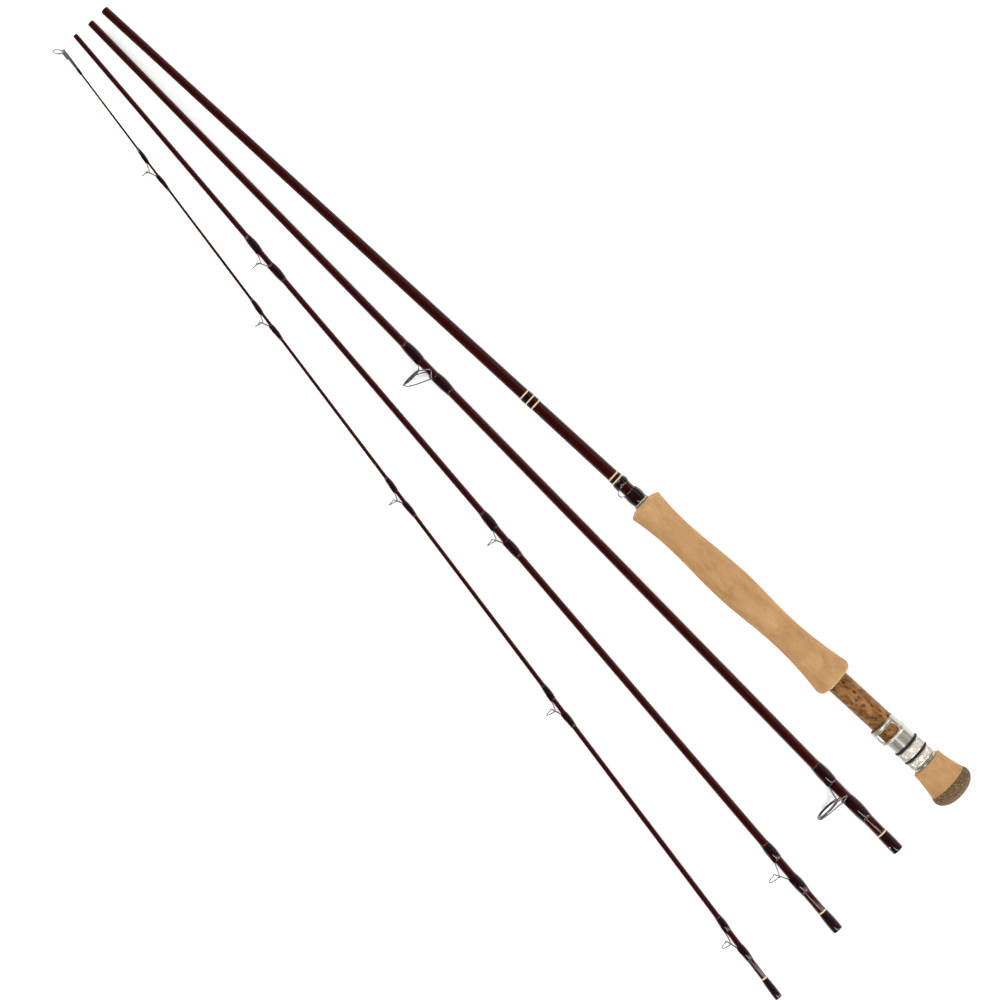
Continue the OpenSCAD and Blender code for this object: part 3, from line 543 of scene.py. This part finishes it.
def blank_mesh(section, start=0.0, socket_r=0.0):
    """A hollow tapered blank, with the socket of a female ferrule where socket_r is given."""
    s = SECTIONS[section]
    end, male = s["length"], s["length"] - s["male"]
    outside = [(start, blank_r(section, start)), (male, s["tip_r"]), (end - 0.3, s["tip_r"]),
               (end, s["tip_r"] - 0.2)]
    if male >= end:
        outside.pop(1)
    inner_tip = s["tip_r"] - s["wall"]
    inside = [(end, inner_tip), (male, inner_tip)] if male < end else [(end, inner_tip)]
    if socket_r:
        inside += [(SOCKET_DEPTH, socket_r - 0.33), (SOCKET_DEPTH, socket_r), (start, socket_r)]
        outside[0] = (start + 0.5, blank_r(section, start))
        outside.insert(0, (start, blank_r(section, start) - 0.25))
    else:
        inside += [(start, blank_r(section, start) - 1.2)]
    return revolve(dense(outside, 40) + inside, 64)


def wrap_mesh(section, x0, x1, peak, edge=WRAP_EDGE, foot_side=None, tunnel=0.0):
    """Varnished thread: thicker in the middle, feathered ends, and a ridge over a guide's foot at
    angle 0 that grows towards foot_side, the end (x0 or x1) where the foot comes out."""
    steps = 28
    outline = [(x0, blank_r(section, x0) + GLUE)]
    for i in range(steps + 1):
        u = i / steps
        x = x0 + u * (x1 - x0)
        rise = edge + (peak - edge) * math.sin(math.pi * u)
        if i in (0, steps):
            rise -= 0.1
        outline.append((x, blank_r(section, x) + rise))
    outline.append((x1, blank_r(section, x1) + GLUE))

    def ridge(x, angle, r):
        if not tunnel or r - blank_r(section, x) < GLUE * 2:
            return r
        u = 1 - abs(x - foot_side) / (x1 - x0)
        off = min(angle, TURN - angle) * r
        top = blank_r(section, x) + tunnel * min(1, u * 1.6)
        return max(r, r + (top - r) * math.exp(-(off / 0.75) ** 2))

    return revolve(outline, 72, shape=ridge)


def band_mesh(section, x, width, proud):
    low, high = blank_r(section, x) + GLUE, blank_r(section, x) + proud
    top = rounded([(x, low), (x, high), (x + width, high), (x + width, low)], 0.12)
    return revolve(top, 72)


def ferrule_mesh(section, thick, length):
    """Thread round a female ferrule, with a rounded varnished lip at its mouth."""
    r0 = SECTIONS[section]["butt_r"]
    outline = [(0, r0 + GLUE), (0, r0 + thick - 0.3), (0.15, r0 + thick - 0.1), (0.6, r0 + thick),
               (4, r0 + thick)]
    for i in range(1, 11):
        u = i / 10
        x = 4 + (length - 4) * u
        outline.append((x, blank_r(section, x) + smooth(thick, WRAP_EDGE, u ** 1.5)))
    outline.append((length, blank_r(section, length) + GLUE))
    return revolve(outline, 72)


def dot_mesh(section, x, proud, angle, size):
    """A small round spot of paint that follows the curve of a wrap or blank."""
    sides = 24
    r = blank_r(section, x) + proud
    verts, faces = [], []
    for reach, lift in ((0, 0.05), (0.5, 0.05), (0.85, 0.04), (1.0, 0.0), (0.9, -0.03), (0, -0.03)):
        for k in range(sides if reach else 1):
            turn = TURN * k / sides
            a = angle + reach * size * math.sin(turn) / r
            along = x + reach * size * math.cos(turn)
            verts.append((along, -(r + lift) * math.sin(a), (r + lift) * math.cos(a)))
    last = len(verts) - 1
    for k in range(sides):
        m = (k + 1) % sides
        faces.append([0, 1 + k, 1 + m])
        for ring in range(3):
            a = 1 + ring * sides
            faces.append([a + k, a + sides + k, a + sides + m, a + m])
        faces.append([last, last - sides + m, last - sides + k])
    return verts, faces


# ---------------------------------------------------------------- butt section


def grip_r(x):
    """Full-wells grip: rear flare, rear waist, swell, front waist, front flare."""
    if x < GRIP_REAR_WAIST:
        u = (GRIP_REAR_WAIST - x) / (GRIP_REAR_WAIST - GRIP_REAR_EDGE)
        return GRIP_WAIST_R + (GRIP_REAR_R - GRIP_WAIST_R) * u ** 2
    if x < GRIP_SWELL:
        return smooth(GRIP_WAIST_R, GRIP_SWELL_R, (x - GRIP_REAR_WAIST) / (GRIP_SWELL - GRIP_REAR_WAIST))
    if x < GRIP_FRONT_WAIST:
        return smooth(GRIP_SWELL_R, GRIP_WAIST_R, (x - GRIP_SWELL) / (GRIP_FRONT_WAIST - GRIP_SWELL))
    u = (x - GRIP_FRONT_WAIST) / (GRIP_FRONT_EDGE - GRIP_FRONT_WAIST)
    return GRIP_WAIST_R + (GRIP_FRONT_R - GRIP_WAIST_R) * u ** 2


def grip_mesh():
    """The cork rings as sanded down in one go: the outline with a hairline at each glued joint."""
    rear = [(GRIP_START, 10.9)]
    for i in range(8):
        a = math.pi / 2 * i / 8
        rear.append((GRIP_REAR_EDGE - (GRIP_REAR_EDGE - GRIP_START) * math.cos(a),
                     GRIP_REAR_R - 2.6 + 2.6 * math.sin(a)))
    side = []
    x = GRIP_REAR_EDGE
    while x < GRIP_FRONT_EDGE:
        side.append((x, grip_r(x)))
        x += 0.65
    for i in range(1, GRIP_RINGS):
        joint = GRIP_START + i * GRIP_LENGTH / GRIP_RINGS
        for off, cut in ((-0.18, 0), (0, 0.07), (0.18, 0)):
            side.append((joint + off, grip_r(joint + off) - cut))
    side.sort()
    recess, bore = GRIP_START + 14.2, 10.75
    front = [(GRIP_FRONT_EDGE, GRIP_FRONT_R), (GRIP_FRONT_EDGE + 0.8, GRIP_FRONT_R - 0.5),
             (GRIP_END - 1.2, GRIP_FRONT_R - 2.2), (GRIP_END - 0.4, GRIP_FRONT_R - 4),
             (GRIP_END, GRIP_FRONT_R - 6), (GRIP_END, blank_r("butt", GRIP_END) + 0.03),
             (recess, blank_r("butt", GRIP_START) + 0.03), (recess, bore), (GRIP_START, bore)]
    return revolve(rear + side + front, 128)


def butt_cork_mesh():
    outline = []
    for i in range(25):
        x = BUTT_CAP_LENGTH + GLUE + (BUTT_FRONT - 0.7 - BUTT_CAP_LENGTH) * i / 24
        u = (BUTT_FRONT - x) / (BUTT_FRONT - BUTT_CAP_LENGTH)
        outline.append((x, BUTT_FRONT_R + (BUTT_JOIN_R - BUTT_FRONT_R) * u ** 1.7))
    outline += [(BUTT_FRONT - 0.35, BUTT_FRONT_R - 0.12), (BUTT_FRONT, BUTT_FRONT_R - 0.7),
                (BUTT_FRONT, SEAT_BORE_R), (BUTT_CAP_LENGTH + GLUE, SEAT_BORE_R)]
    return revolve(outline, 128)


def butt_cap_mesh():
    outline = [(0, 0)]
    for i in range(1, 25):
        a = math.pi / 2 * i / 24
        outline.append((BUTT_RIM_X * (1 - math.cos(a)), BUTT_RIM_R * math.sin(a) ** (2 / 2.4)))
    outline += [((BUTT_RIM_X + BUTT_CAP_LENGTH) / 2, BUTT_RIM_R - 0.25), (BUTT_CAP_LENGTH, BUTT_JOIN_R),
                (BUTT_CAP_LENGTH, SEAT_BORE_R), (4, SEAT_BORE_R), (4, 0)]
    return revolve(outline, 128, closed=False)


def saw(value):
    """Triangle wave: 0 at whole numbers, 1 halfway between them."""
    return 1 - abs(2 * (value - math.floor(value)) - 1)


def barrel_mesh():
    """The threaded barrel, with a real helix cut into it."""
    def thread(x, angle, r):
        if r < THREAD_R - 0.01 or not THREAD_START < x < THREAD_END:
            return r
        fade = min(1, min(x - THREAD_START, THREAD_END - x) / 1.5)
        return r - 0.42 * fade * (1 - saw(x / THREAD_PITCH - angle / TURN))
    start = BUTT_FRONT + GLUE
    outline = dense([(start, THREAD_R), (BARREL_FRONT, THREAD_R)], THREAD_PITCH / 8)
    return revolve(outline + [(BARREL_FRONT, SEAT_BORE_R), (start, SEAT_BORE_R)], 72, shape=thread)


def collar_mesh():
    start, end = BUTT_FRONT + GLUE, BUTT_FRONT + GLUE + 2.2
    inner, outer = THREAD_R + GLUE, 8.95
    return revolve(rounded([(start, inner), (start, outer), (end, outer), (end, inner)], 0.35), 96)


def nut_mesh(x, length):
    """A lock nut with a diamond knurl between two plain rims."""
    rim = 0.85
    pitch = TURN * NUT_R / KNURLS

    def knurl(at, angle, r):
        if r < NUT_R - 0.02:
            return r
        inside = min(at - x - rim, x + length - rim - at) / 0.3
        if inside <= 0:
            return r
        around = angle * KNURLS / TURN
        groove = max(1 - saw(around + (at - x) / pitch), 1 - saw(around - (at - x) / pitch))
        return r - 0.1 - 0.28 * min(1, inside) * groove ** 1.5

    bevel = 0.3
    corners = [(x, NUT_BORE_R + bevel), (x, NUT_R), (x + length, NUT_R), (x + length, NUT_BORE_R + bevel)]
    outer = dense(rounded(corners, 0.4, 4), pitch / 8)
    outline = [(x + bevel, NUT_BORE_R)] + outer + [(x + length - bevel, NUT_BORE_R)]
    return revolve(outline, KNURLS * 8, shape=knurl)


def o_ring_mesh(x):
    outline = []
    for i in range(24):
        a = TURN * i / 24
        outline.append((x + O_RING_R - O_RING_R * math.cos(a), NUT_R - 0.4 + O_RING_R * math.sin(a)))
    return revolve(outline, 96)


def pocket_r(angle, r, shift=POCKET_SHIFT):
    """Radius of a circle that is set off from the axis towards angle 0."""
    return shift * math.cos(angle) + math.sqrt(r * r - (shift * math.sin(angle)) ** 2)


def soft_max(a, b, blend=0.12):
    """The larger of two radii, with a fillet where they cross."""
    h = max(blend - abs(a - b), 0) / blend
    return max(a, b) + h * h * blend / 4


def window_distance(x, angle):
    """Distance outside the hood's nearer window, in its wall; negative inside it."""
    turn = math.radians(70)
    half_x, half_a, corner = 3.7, math.radians(51), 2.4
    a = abs((angle + math.pi) % TURN - math.pi)
    dx = abs(x - 62.3) - half_x + corner
    dy = (abs(a - turn) - half_a) * HOOD_MIDDLE_R + corner
    outside = math.hypot(max(dx, 0), max(dy, 0))
    return outside + min(max(dx, dy), 0) - corner


def shell_mesh(x0, x1, outer, inner, distance=None, segments=288, step=0.14, fillet=0.18):
    """A thin wall between two radii that are functions of (x, angle), cut open where distance is
    negative. Grid points close to an opening's edge are moved onto it, so that edge is smooth."""
    columns = round((x1 - x0) / step)
    cell = TURN / segments

    def edge_drop(gap):
        return fillet - math.sqrt(max(fillet ** 2 - (fillet - gap) ** 2, 0)) if gap < fillet else 0

    points = {}
    for i in range(columns + 1):
        for k in range(segments):
            x, a = x0 + (x1 - x0) * i / columns, cell * k
            d = distance(x, a) if distance else 99
            if abs(d) < step * 0.55:
                e = 0.01
                gx = (distance(x + e, a) - distance(x - e, a)) / (2 * e)
                ga = (distance(x, a + e / HOOD_MIDDLE_R) - distance(x, a - e / HOOD_MIDDLE_R)) / (2 * e)
                size = gx * gx + ga * ga
                if size > 0.2:
                    x, a, d = x - d * gx / size, a - d * ga / size / HOOD_MIDDLE_R, 0.0
            points[i, k] = (x, a, d)
    kept = set()
    for i in range(columns):
        for k in range(segments):
            n = (k + 1) % segments
            if sum(points[c][2] for c in ((i, k), (i + 1, k), (i + 1, n), (i, n))) > 0:
                kept.add((i, k))
    verts, index, faces = [], {}, []

    def vertex(key, side):
        if (key, side) not in index:
            x, a, d = points[key]
            gap = max(0.0, min(d, x - x0, x1 - x))
            r = outer(x, a) - edge_drop(gap) if side else inner(x, a)
            index[key, side] = len(verts)
            verts.append((x, -r * math.sin(a), r * math.cos(a)))
        return index[key, side]

    def wall(p, q):
        faces.append([vertex(p, 1), vertex(q, 1), vertex(q, 0), vertex(p, 0)])

    for i, k in kept:
        n = (k + 1) % segments
        corners = [(i, k), (i + 1, k), (i + 1, n), (i, n)]
        faces.append([vertex(c, 1) for c in corners])
        faces.append([vertex(c, 0) for c in reversed(corners)])
        for other, p, q in (((i - 1, k), (i, n), (i, k)), ((i + 1, k), (i + 1, k), (i + 1, n)),
                            ((i, (k - 1) % segments), (i, k), (i + 1, k)), ((i, n), (i + 1, n), (i, n))):
            if other not in kept:
                wall(p, q)
    return verts, faces


def hood_outer(x, angle):
    """Outside of the sliding hood: a plain collar, a bead, and the shell of the pocket."""
    collar = HOOD_BORE_R + HOOD_WALL
    off = abs(x - 58.8)
    bead = 9.33 - max(0, off - 0.9) ** 2 * 0.55 if off < 3 else 0
    shell = collar
    if x > 56.6:
        grow = smooth(0, 1, (x - 56.6) / 1.2)
        shell = collar + (max(collar, pocket_r(angle, POCKET_R + HOOD_WALL)) - collar) * grow
    lip = 0.12 * math.exp(-((x - 68.2) / 0.45) ** 2) if math.cos(angle) < 0.55 else 0
    return soft_max(soft_max(collar, shell), bead) + lip


def hood_inner(x, angle):
    if x < 58.6:
        return HOOD_BORE_R
    return max(HOOD_BORE_R, pocket_r(angle, POCKET_R))


def fixed_hood_outer(x, angle):
    return soft_max(HOOD_BORE_R + HOOD_WALL, pocket_r(angle, POCKET_R + HOOD_WALL))


def fixed_hood_inner(x, angle):
    return max(INSERT_R + GLUE, pocket_r(angle, POCKET_R))


def check_mesh():
    """The winding check: a thin ring of small beads."""
    x0 = GRIP_END + GLUE
    inner = blank_r("butt", x0) + 0.03

    def beads(x, angle, r):
        return r - 0.22 * (1 - abs(math.sin(angle * 20))) if r > inner + 0.5 else r

    outline = rounded([(x0, inner), (x0, inner + 1.33), (x0 + 1.8, inner + 1.33), (x0 + 1.8, inner)], 0.5, 5)
    return revolve(outline, 240, shape=beads)


def keeper_mesh():
    """A bent wire loop to hang the hook on."""
    z = blank_r("butt", 294.42) + 0.45
    middle, half = (KEEPER_REAR + KEEPER_FRONT) / 2, (KEEPER_FRONT - KEEPER_REAR) / 2 - 0.35
    path = [(KEEPER_REAR - 7, 0, z + 0.05), (KEEPER_REAR - 0.6, 0, z)]
    for i in range(10):
        a = math.pi * (1 - i / 9)
        path.append((middle + half * math.cos(a), 0, z + 0.4 + 1.7 * math.sin(a)))
    path += [(KEEPER_FRONT + 0.6, 0, z), (KEEPER_FRONT + 5, 0, z)]
    return sweep(spline(path, 6), 0.4, 16)


def build_butt():
    """Everything on the butt section and its reel seat."""
    s = "butt"
    piece("butt_blank", blank_mesh(s, 50), s, BLANK)
    piece("grip_cork_rings", grip_mesh(), s, CORK)
    piece("fighting_butt_cork", butt_cork_mesh(), s, CORK)
    piece("fighting_butt_cap", butt_cap_mesh(), s, COMPOSITE)
    insert = rounded([(BARREL_FRONT + GLUE, SEAT_BORE_R), (BARREL_FRONT + GLUE, INSERT_R),
                      (INSERT_FRONT, INSERT_R), (INSERT_FRONT, SEAT_BORE_R)], 0.15)
    piece("seat_insert", revolve(dense(insert, 6), 128), s, BURL)
    piece("threaded_barrel", barrel_mesh(), s, SILVER)
    piece("end_collar", collar_mesh(), s, SILVER)
    piece("winding_check", check_mesh(), s, SILVER)
    piece("hook_keeper", keeper_mesh(), s, SILVER)
    piece("fixed_hood", shell_mesh(GRIP_START - 0.4, GRIP_START + 14, fixed_hood_outer, fixed_hood_inner,
                                   step=0.5), s, SILVER)
    piece("sliding_hood", shell_mesh(48.9, 69, hood_outer, hood_inner, window_distance), s, SILVER,
          "sliding_hood")
    piece("rear_lock_nut", nut_mesh(THREAD_START, 5.8), s, SILVER, "rear_lock_nut")
    piece("front_lock_nut", nut_mesh(40.5, 6.6), s, SILVER, "front_lock_nut")
    piece("rear_o_ring", o_ring_mesh(38.9), s, RUBBER, "rear_o_ring")
    piece("front_o_ring", o_ring_mesh(47.2), s, RUBBER, "front_o_ring")
    wraps = joined(wrap_mesh(s, GRIP_END + 1.84, KEEPER_REAR, 1.35, 0.7, KEEPER_REAR, 1.1),
                   wrap_mesh(s, KEEPER_FRONT, BUTT_TANS[0] - GLUE, 1.0, 0.3, KEEPER_FRONT, 1.0))
    piece("keeper_wraps", wraps, s, WRAP)
    golds = [band_mesh(s, x, 1.0, 0.3) for x in BUTT_GOLDS]
    bands = joined(*golds, *[band_mesh(s, x, 0.9, 0.32) for x in BUTT_TANS])
    piece("butt_gold_bands", bands, s, GOLD)
    between = joined(wrap_mesh(s, BUTT_TANS[0] + TRIM_WIDTH + GLUE, BUTT_GOLDS[0] - GLUE, 0.27),
                     wrap_mesh(s, BUTT_GOLDS[1] + 1.02, BUTT_TANS[1] - GLUE, 0.27),
                     wrap_mesh(s, BUTT_TANS[1] + TRIM_WIDTH + GLUE, BUTT_GOLDS[2] - GLUE, 0.27))
    piece("butt_band_wraps", between, s, WRAP)


# ---------------------------------------------------------------- guides


def stripping_ring_mesh(g):
    """The polished ring that the line runs over, in the plane across the axis."""
    outline = []
    for i in range(24):
        a = TURN * i / 24
        outline.append((0.8 * math.cos(a), g["r"] - 1.57 - GLUE + 0.8 * math.sin(a)))
    ring = revolve(outline, 96)
    return moved(ring, Matrix.Translation((g["x"], 0, g["height"])))


def stripping_frame_mesh(section, g):
    """The holder round the ring, and the two feet with the plate up to the holder."""
    r, h = g["r"], g["height"]
    holder = rounded([(-0.6, r - 0.75), (-0.6, r), (0.6, r), (0.6, r - 0.75)], 0.25)
    parts = [moved(revolve(holder, 96), Matrix.Translation((g["x"], 0, h)))]
    front = g["x"] + g["front_gap"]
    base = blank_r(section, front) + GLUE
    parts.append(strip_mesh([(g["x"] + 0.1, h - r + 0.35, 2.6, 0.55), (g["x"] + 0.6, h - r - 0.1, 2.4, 0.5),
                             ((g["x"] + front) / 2, (h - r + base) / 2 + 0.05, 2.0, 0.45),
                             (front - 0.9, base + 0.32, 2.0, 0.45), (front + 0.4, base + 0.25, 2.0, 0.45),
                             (front + g["front_wrap"] * 0.75, base + 0.12, 1.6, 0.2)]))
    rear = g["x"] - g["rear_gap"]
    base = blank_r(section, rear - g["rear_wrap"]) + GLUE
    parts.append(strip_mesh([(rear + 1.2, base + 0.3, 2.6, 0.5), (rear + 0.3, base + 0.25, 2.3, 0.45),
                             (rear - 0.8, base + 0.25, 2.0, 0.45),
                             (rear - g["rear_wrap"] * 0.75, base + 0.12, 1.6, 0.2)]))
    return joined(*parts)


def strip_mesh(stations):
    """A flat strip with rounded edges along (x, z, width, thickness) stations."""
    path = spline([(x, z, w) for x, z, w, t in stations], 6)
    at, given = np.linspace(0, 1, len(path)), np.linspace(0, 1, len(stations))
    thick = np.interp(at, given, [s[3] for s in stations])
    verts, faces = [], []
    along = np.gradient(path[:, :2], axis=0)
    along /= np.linalg.norm(along, axis=1)[:, None]
    sides = 12
    for (x, z, w), t, (dx, dz) in zip(path, thick, along):
        for k in range(sides):
            a = TURN * k / sides
            c, s = math.cos(a), math.sin(a)
            y = w / 2 * math.copysign(abs(c) ** 0.35, c)
            up = t / 2 * math.copysign(abs(s) ** 0.6, s)
            verts.append((x - dz * up, y, z + dx * up))
    for i in range(len(path) - 1):
        for k in range(sides):
            m = (k + 1) % sides
            faces.append([i * sides + k, i * sides + m, (i + 1) * sides + m, (i + 1) * sides + k])
    faces.append(list(range(sides)))
    faces.append([(len(path) - 1) * sides + k for k in reversed(range(sides))])
    return verts, faces


def stripping_legs_mesh(section, g):
    """Three wires from the holder back to the rear foot: two dip round the sides of the blank, in polar
    coordinates round its axis, and the third leaves the top of the holder rearwards and curves down."""
    x, height, middle = g["x"], g["height"], g["r"] - 0.375
    front, rear = x - BRACE_START, x - g["rear_gap"] + 0.35
    foot_r = blank_r(section, x) + FOOT_THICK + 0.04
    foot_angle = math.asin(2.1 * BRACE_R / foot_r)
    start = (middle * math.sin(BRACE_ANGLE), height - middle * math.cos(BRACE_ANGLE))
    start_r, start_angle = math.hypot(*start), math.atan2(*start)
    parts = []
    for side in (-1, 1):
        path = []
        for u in np.linspace(0, 1, 33):
            r = foot_r + (start_r - foot_r) * (1 - u) ** BRACE_FALL
            angle = start_angle + (foot_angle - start_angle) * u + g["dip"] * math.sin(math.pi * u) ** 2
            path.append((front + (rear - front) * u, side * r * math.sin(angle), r * math.cos(angle)))
        parts.append(sweep(path, BRACE_R, 14))
    top, foot = (front, 0, height + middle), (rear, 0, foot_r)
    path = bezier(top, (top[0] - 0.4 * g["rear_gap"], 0, top[2] - 1.5),
                  (rear + 0.22 * g["rear_gap"], 0, foot_r + 0.22 * (top[2] - foot_r)), foot, 32)
    parts.append(sweep(path, BRACE_R, 14))
    return joined(*parts)


def snake_mesh(section, g, wrap):
    """A snake guide: a wire that rises from its rear foot, turns over in a loop and comes down again."""
    x, gap, height, outer = g
    r = outer - SNAKE_WIRE_R

    def foot(toward, u):
        at = x + toward * (gap / 2 + 0.8 * wrap * u)
        thin = smooth(SNAKE_WIRE_R, 0.2, u)
        return (at, 0, blank_r(section, min(at, x + toward * gap / 2)) + GLUE + thin)

    path = [foot(-1, 1), foot(-1, 0.5), foot(-1, 0.06), foot(-1, -0.06)]
    radii = [0.22, 0.3, SNAKE_WIRE_R, SNAKE_WIRE_R]
    for i in range(15):
        a = LOOP_OPEN * (2 * i / 14 - 1)
        path.append((x + LOOP_DRIFT * a / LOOP_OPEN / 2, -r * math.sin(a), height + r * math.cos(a)))
        radii.append(SNAKE_WIRE_R)
    path += [foot(1, -0.06), foot(1, 0.06), foot(1, 0.5), foot(1, 1)]
    radii += [SNAKE_WIRE_R, SNAKE_WIRE_R, 0.3, 0.22]
    per_span, last = 6, len(radii) - 1
    wide = np.interp(np.linspace(0, last, last * per_span + 1), range(len(radii)), radii)
    return sweep(spline(path, per_span), wide, 16)


def add_wraps(section, wraps, trims, rear, front, rear_length, front_length):
    """Adds the two wraps that hold a guide's feet, and the narrow band of trim beyond each."""
    peak, over_foot = WRAP_BULGE[section], 0.95
    wraps.append(wrap_mesh(section, rear - rear_length, rear, peak, foot_side=rear, tunnel=over_foot))
    wraps.append(wrap_mesh(section, front, front + front_length, peak, foot_side=front, tunnel=over_foot))
    trims.append(band_mesh(section, rear - rear_length - GLUE - TRIM_WIDTH, TRIM_WIDTH, WRAP_EDGE))
    trims.append(band_mesh(section, front + front_length + GLUE, TRIM_WIDTH, WRAP_EDGE))


def build_stripping_guides():
    s = "second"
    for name, g in STRIPPING.items():
        piece(f"{name}_stripping_ring", stripping_ring_mesh(g), s, DARK_RING)
        piece(f"{name}_stripping_frame", stripping_frame_mesh(s, g), s, GUIDE)
        piece(f"{name}_stripping_legs", stripping_legs_mesh(s, g), s, GUIDE)
    wraps, trims = [], []
    for g in STRIPPING.values():
        rear, front = g["x"] - g["rear_gap"], g["x"] + g["front_gap"]
        add_wraps(s, wraps, trims, rear, front, g["rear_wrap"], g["front_wrap"])
    piece("second_guide_wraps", joined(*wraps), s, WRAP)
    piece("second_trim_bands", joined(*trims), s, TAN)


def build_snake_guides(section):
    wrap = SNAKE_WRAP[section]
    wraps, trims = [], []
    for i, g in enumerate(SNAKES[section], 1):
        name = f"{section}_snake_guide_{i}"
        piece(name, snake_mesh(section, g, wrap), section, GUIDE)
        rear, front = g[0] - g[1] / 2, g[0] + g[1] / 2
        add_wraps(section, wraps, trims, rear, front, wrap, wrap)
    if section == "tip":
        end = SECTIONS[section]["length"]
        wraps.append(wrap_mesh(section, end - 7, end - 1.6, 0.4, 0.3))
    piece(f"{section}_guide_wraps", joined(*wraps), section, WRAP)
    piece(f"{section}_trim_bands", joined(*trims), section, TAN)


def build_upper_section(section, socket_r, thick, length):
    piece(f"{section}_blank", blank_mesh(section, 0, socket_r + SOCKET_GAP), section, BLANK)
    piece(f"{section}_ferrule_wrap", ferrule_mesh(section, thick, length), section, WRAP)
    piece(f"{section}_gold_band", band_mesh(section, length + GLUE, 1.0, 0.3), section, GOLD)


def build_tip_top():
    s = "tip"
    x0 = SECTIONS[s]["length"] - 1.5
    x1 = x0 + 14.5
    outline = [(x0, 0.62)] + rounded([(x0, 0.62), (x0, 1.05), (x1, 1.05), (x1, 0)], 0.3)[1:-1]
    outline += [(x1, 0), (x0 + 1.8, 0), (x0 + 1.8, 0.62)]
    piece("tip_top_tube", revolve(outline, 48), s, GUIDE)
    r, lean, z = 3.1, math.radians(50), 1.05 + SNAKE_WIRE_R + GLUE
    start = x1 - 1
    path = [(start - 6, -0.45, z), (start - 3, -0.45, z)]
    for i in range(17):
        a = math.radians(150) * (i / 8 - 1)
        along = r * (0.9 + math.cos(a))
        path.append((start + along * math.cos(lean), r * math.sin(a), z + along * math.sin(lean)))
    path += [(start - 3, 0.45, z), (start - 6, 0.45, z)]
    piece("tip_top_loop", sweep(spline(path, 5), SNAKE_WIRE_R, 16), s, GUIDE)


build_butt()
build_upper_section("second", SECTIONS["butt"]["tip_r"], 0.42, 15)
build_upper_section("third", SECTIONS["second"]["tip_r"], 0.7, 15.4)
build_upper_section("tip", SECTIONS["third"]["tip_r"], 0.62, 15.6)
# The painted spot that shows how to line the second section up with the butt
piece("second_alignment_dot", dot_mesh("second", 5.5, 0.42, math.radians(25), 0.5), "second", DOT)
build_stripping_guides()
build_snake_guides("third")
build_snake_guides("tip")
build_tip_top()

# The hidden pieces of the seat keep their CAD shape
for node in ("seat_arbors", "butt_plug"):
    frame["nodes"][node].data.materials.clear()
    frame["nodes"][node].data.materials.append(ARBOR)

# ---------------------------------------------------------------- floor, light and camera


def make_floor():
    size = 4.0
    data = bpy.data.meshes.new("floor")
    corners = [(-size, -size, 0), (size, -size, 0), (size, size, 0), (-size, size, 0)]
    data.from_pydata(corners, [], [[0, 1, 2, 3]])
    made, tree, shader = material("floor")
    paper = noise(tree, in_row(tree), 0.02, 3, 0.5)
    wire_up(tree, shader, Base_Color=ramp(tree, paper, (0.3, (0.93, 0.93, 0.93)), (0.7, (0.95, 0.95, 0.95))),
            Roughness=0.9, Emission_Color=(1, 1, 1, 1), Emission_Strength=0.3,
            Specular_IOR_Level=0.0)
    data.materials.append(made)
    obj = bpy.data.objects.new("floor", data)
    bpy.context.scene.collection.objects.link(obj)


def make_light(name, place, aim, size, power):
    data = bpy.data.lights.new(name, "AREA")
    data.shape = "RECTANGLE"
    data.size, data.size_y = size
    data.energy = power
    obj = bpy.data.objects.new(name, data)
    obj.location = place
    obj.rotation_euler = (Vector(aim) - Vector(place)).to_track_quat("-Z", "Y").to_euler()
    bpy.context.scene.collection.objects.link(obj)


def make_camera():
    """Straight above the layout, turned so that the sections fan across the picture as laid out."""
    height, focal_per_width = 1.52, 2.335
    right = Vector((-0.737, -0.676, 0)).normalized()
    up = Vector((0.676, -0.737, 0)).normalized()
    data = bpy.data.cameras.new("camera")
    data.sensor_width = 36
    data.lens = focal_per_width * data.sensor_width
    data.clip_start, data.clip_end = 0.05, 20
    obj = bpy.data.objects.new("camera", data)
    back = right.cross(up)
    obj.matrix_world = Matrix((
        (right.x, up.x, back.x, -0.0293),
        (right.y, up.y, back.y, -0.0211),
        (right.z, up.z, back.z, height),
        (0, 0, 0, 1)))
    bpy.context.scene.collection.objects.link(obj)
    bpy.context.scene.camera = obj


def make_world():
    world = bpy.data.worlds.new("world")
    world.use_nodes = True
    background = next(n for n in world.node_tree.nodes if n.type == "BACKGROUND")
    background.inputs["Color"].default_value = (1.0, 1.0, 1.0, 1)
    background.inputs["Strength"].default_value = 0.04
    bpy.context.scene.world = world


bpy.context.scene.view_settings.view_transform = "Standard"
make_floor()
make_world()
# Softboxes beyond both ends and off the corners light the rod without shining back up off its round
# sides; a dim one behind the butt section and a small one opposite are what its varnish reflects
for way in (-1, 1):
    make_light("end_box", (1.7 * way, 0, 1.5), (0, 0, 0), (1.4, 1.4), 21)
    for side in (-1, 1):
        make_light("corner_box", (1.75 * way, 1.3 * side, 0.93), (0, 0, 0), (0.8, 0.8), 25)
make_light("side_fill", (0, -1.7, 1.3), (0, 0, 0), (2.6, 1.2), 4.5)
make_light("streak", (-0.88, 0.5, 1.5), (-0.3, 0, 0), (0.5, 0.14), 3.5)
make_camera()
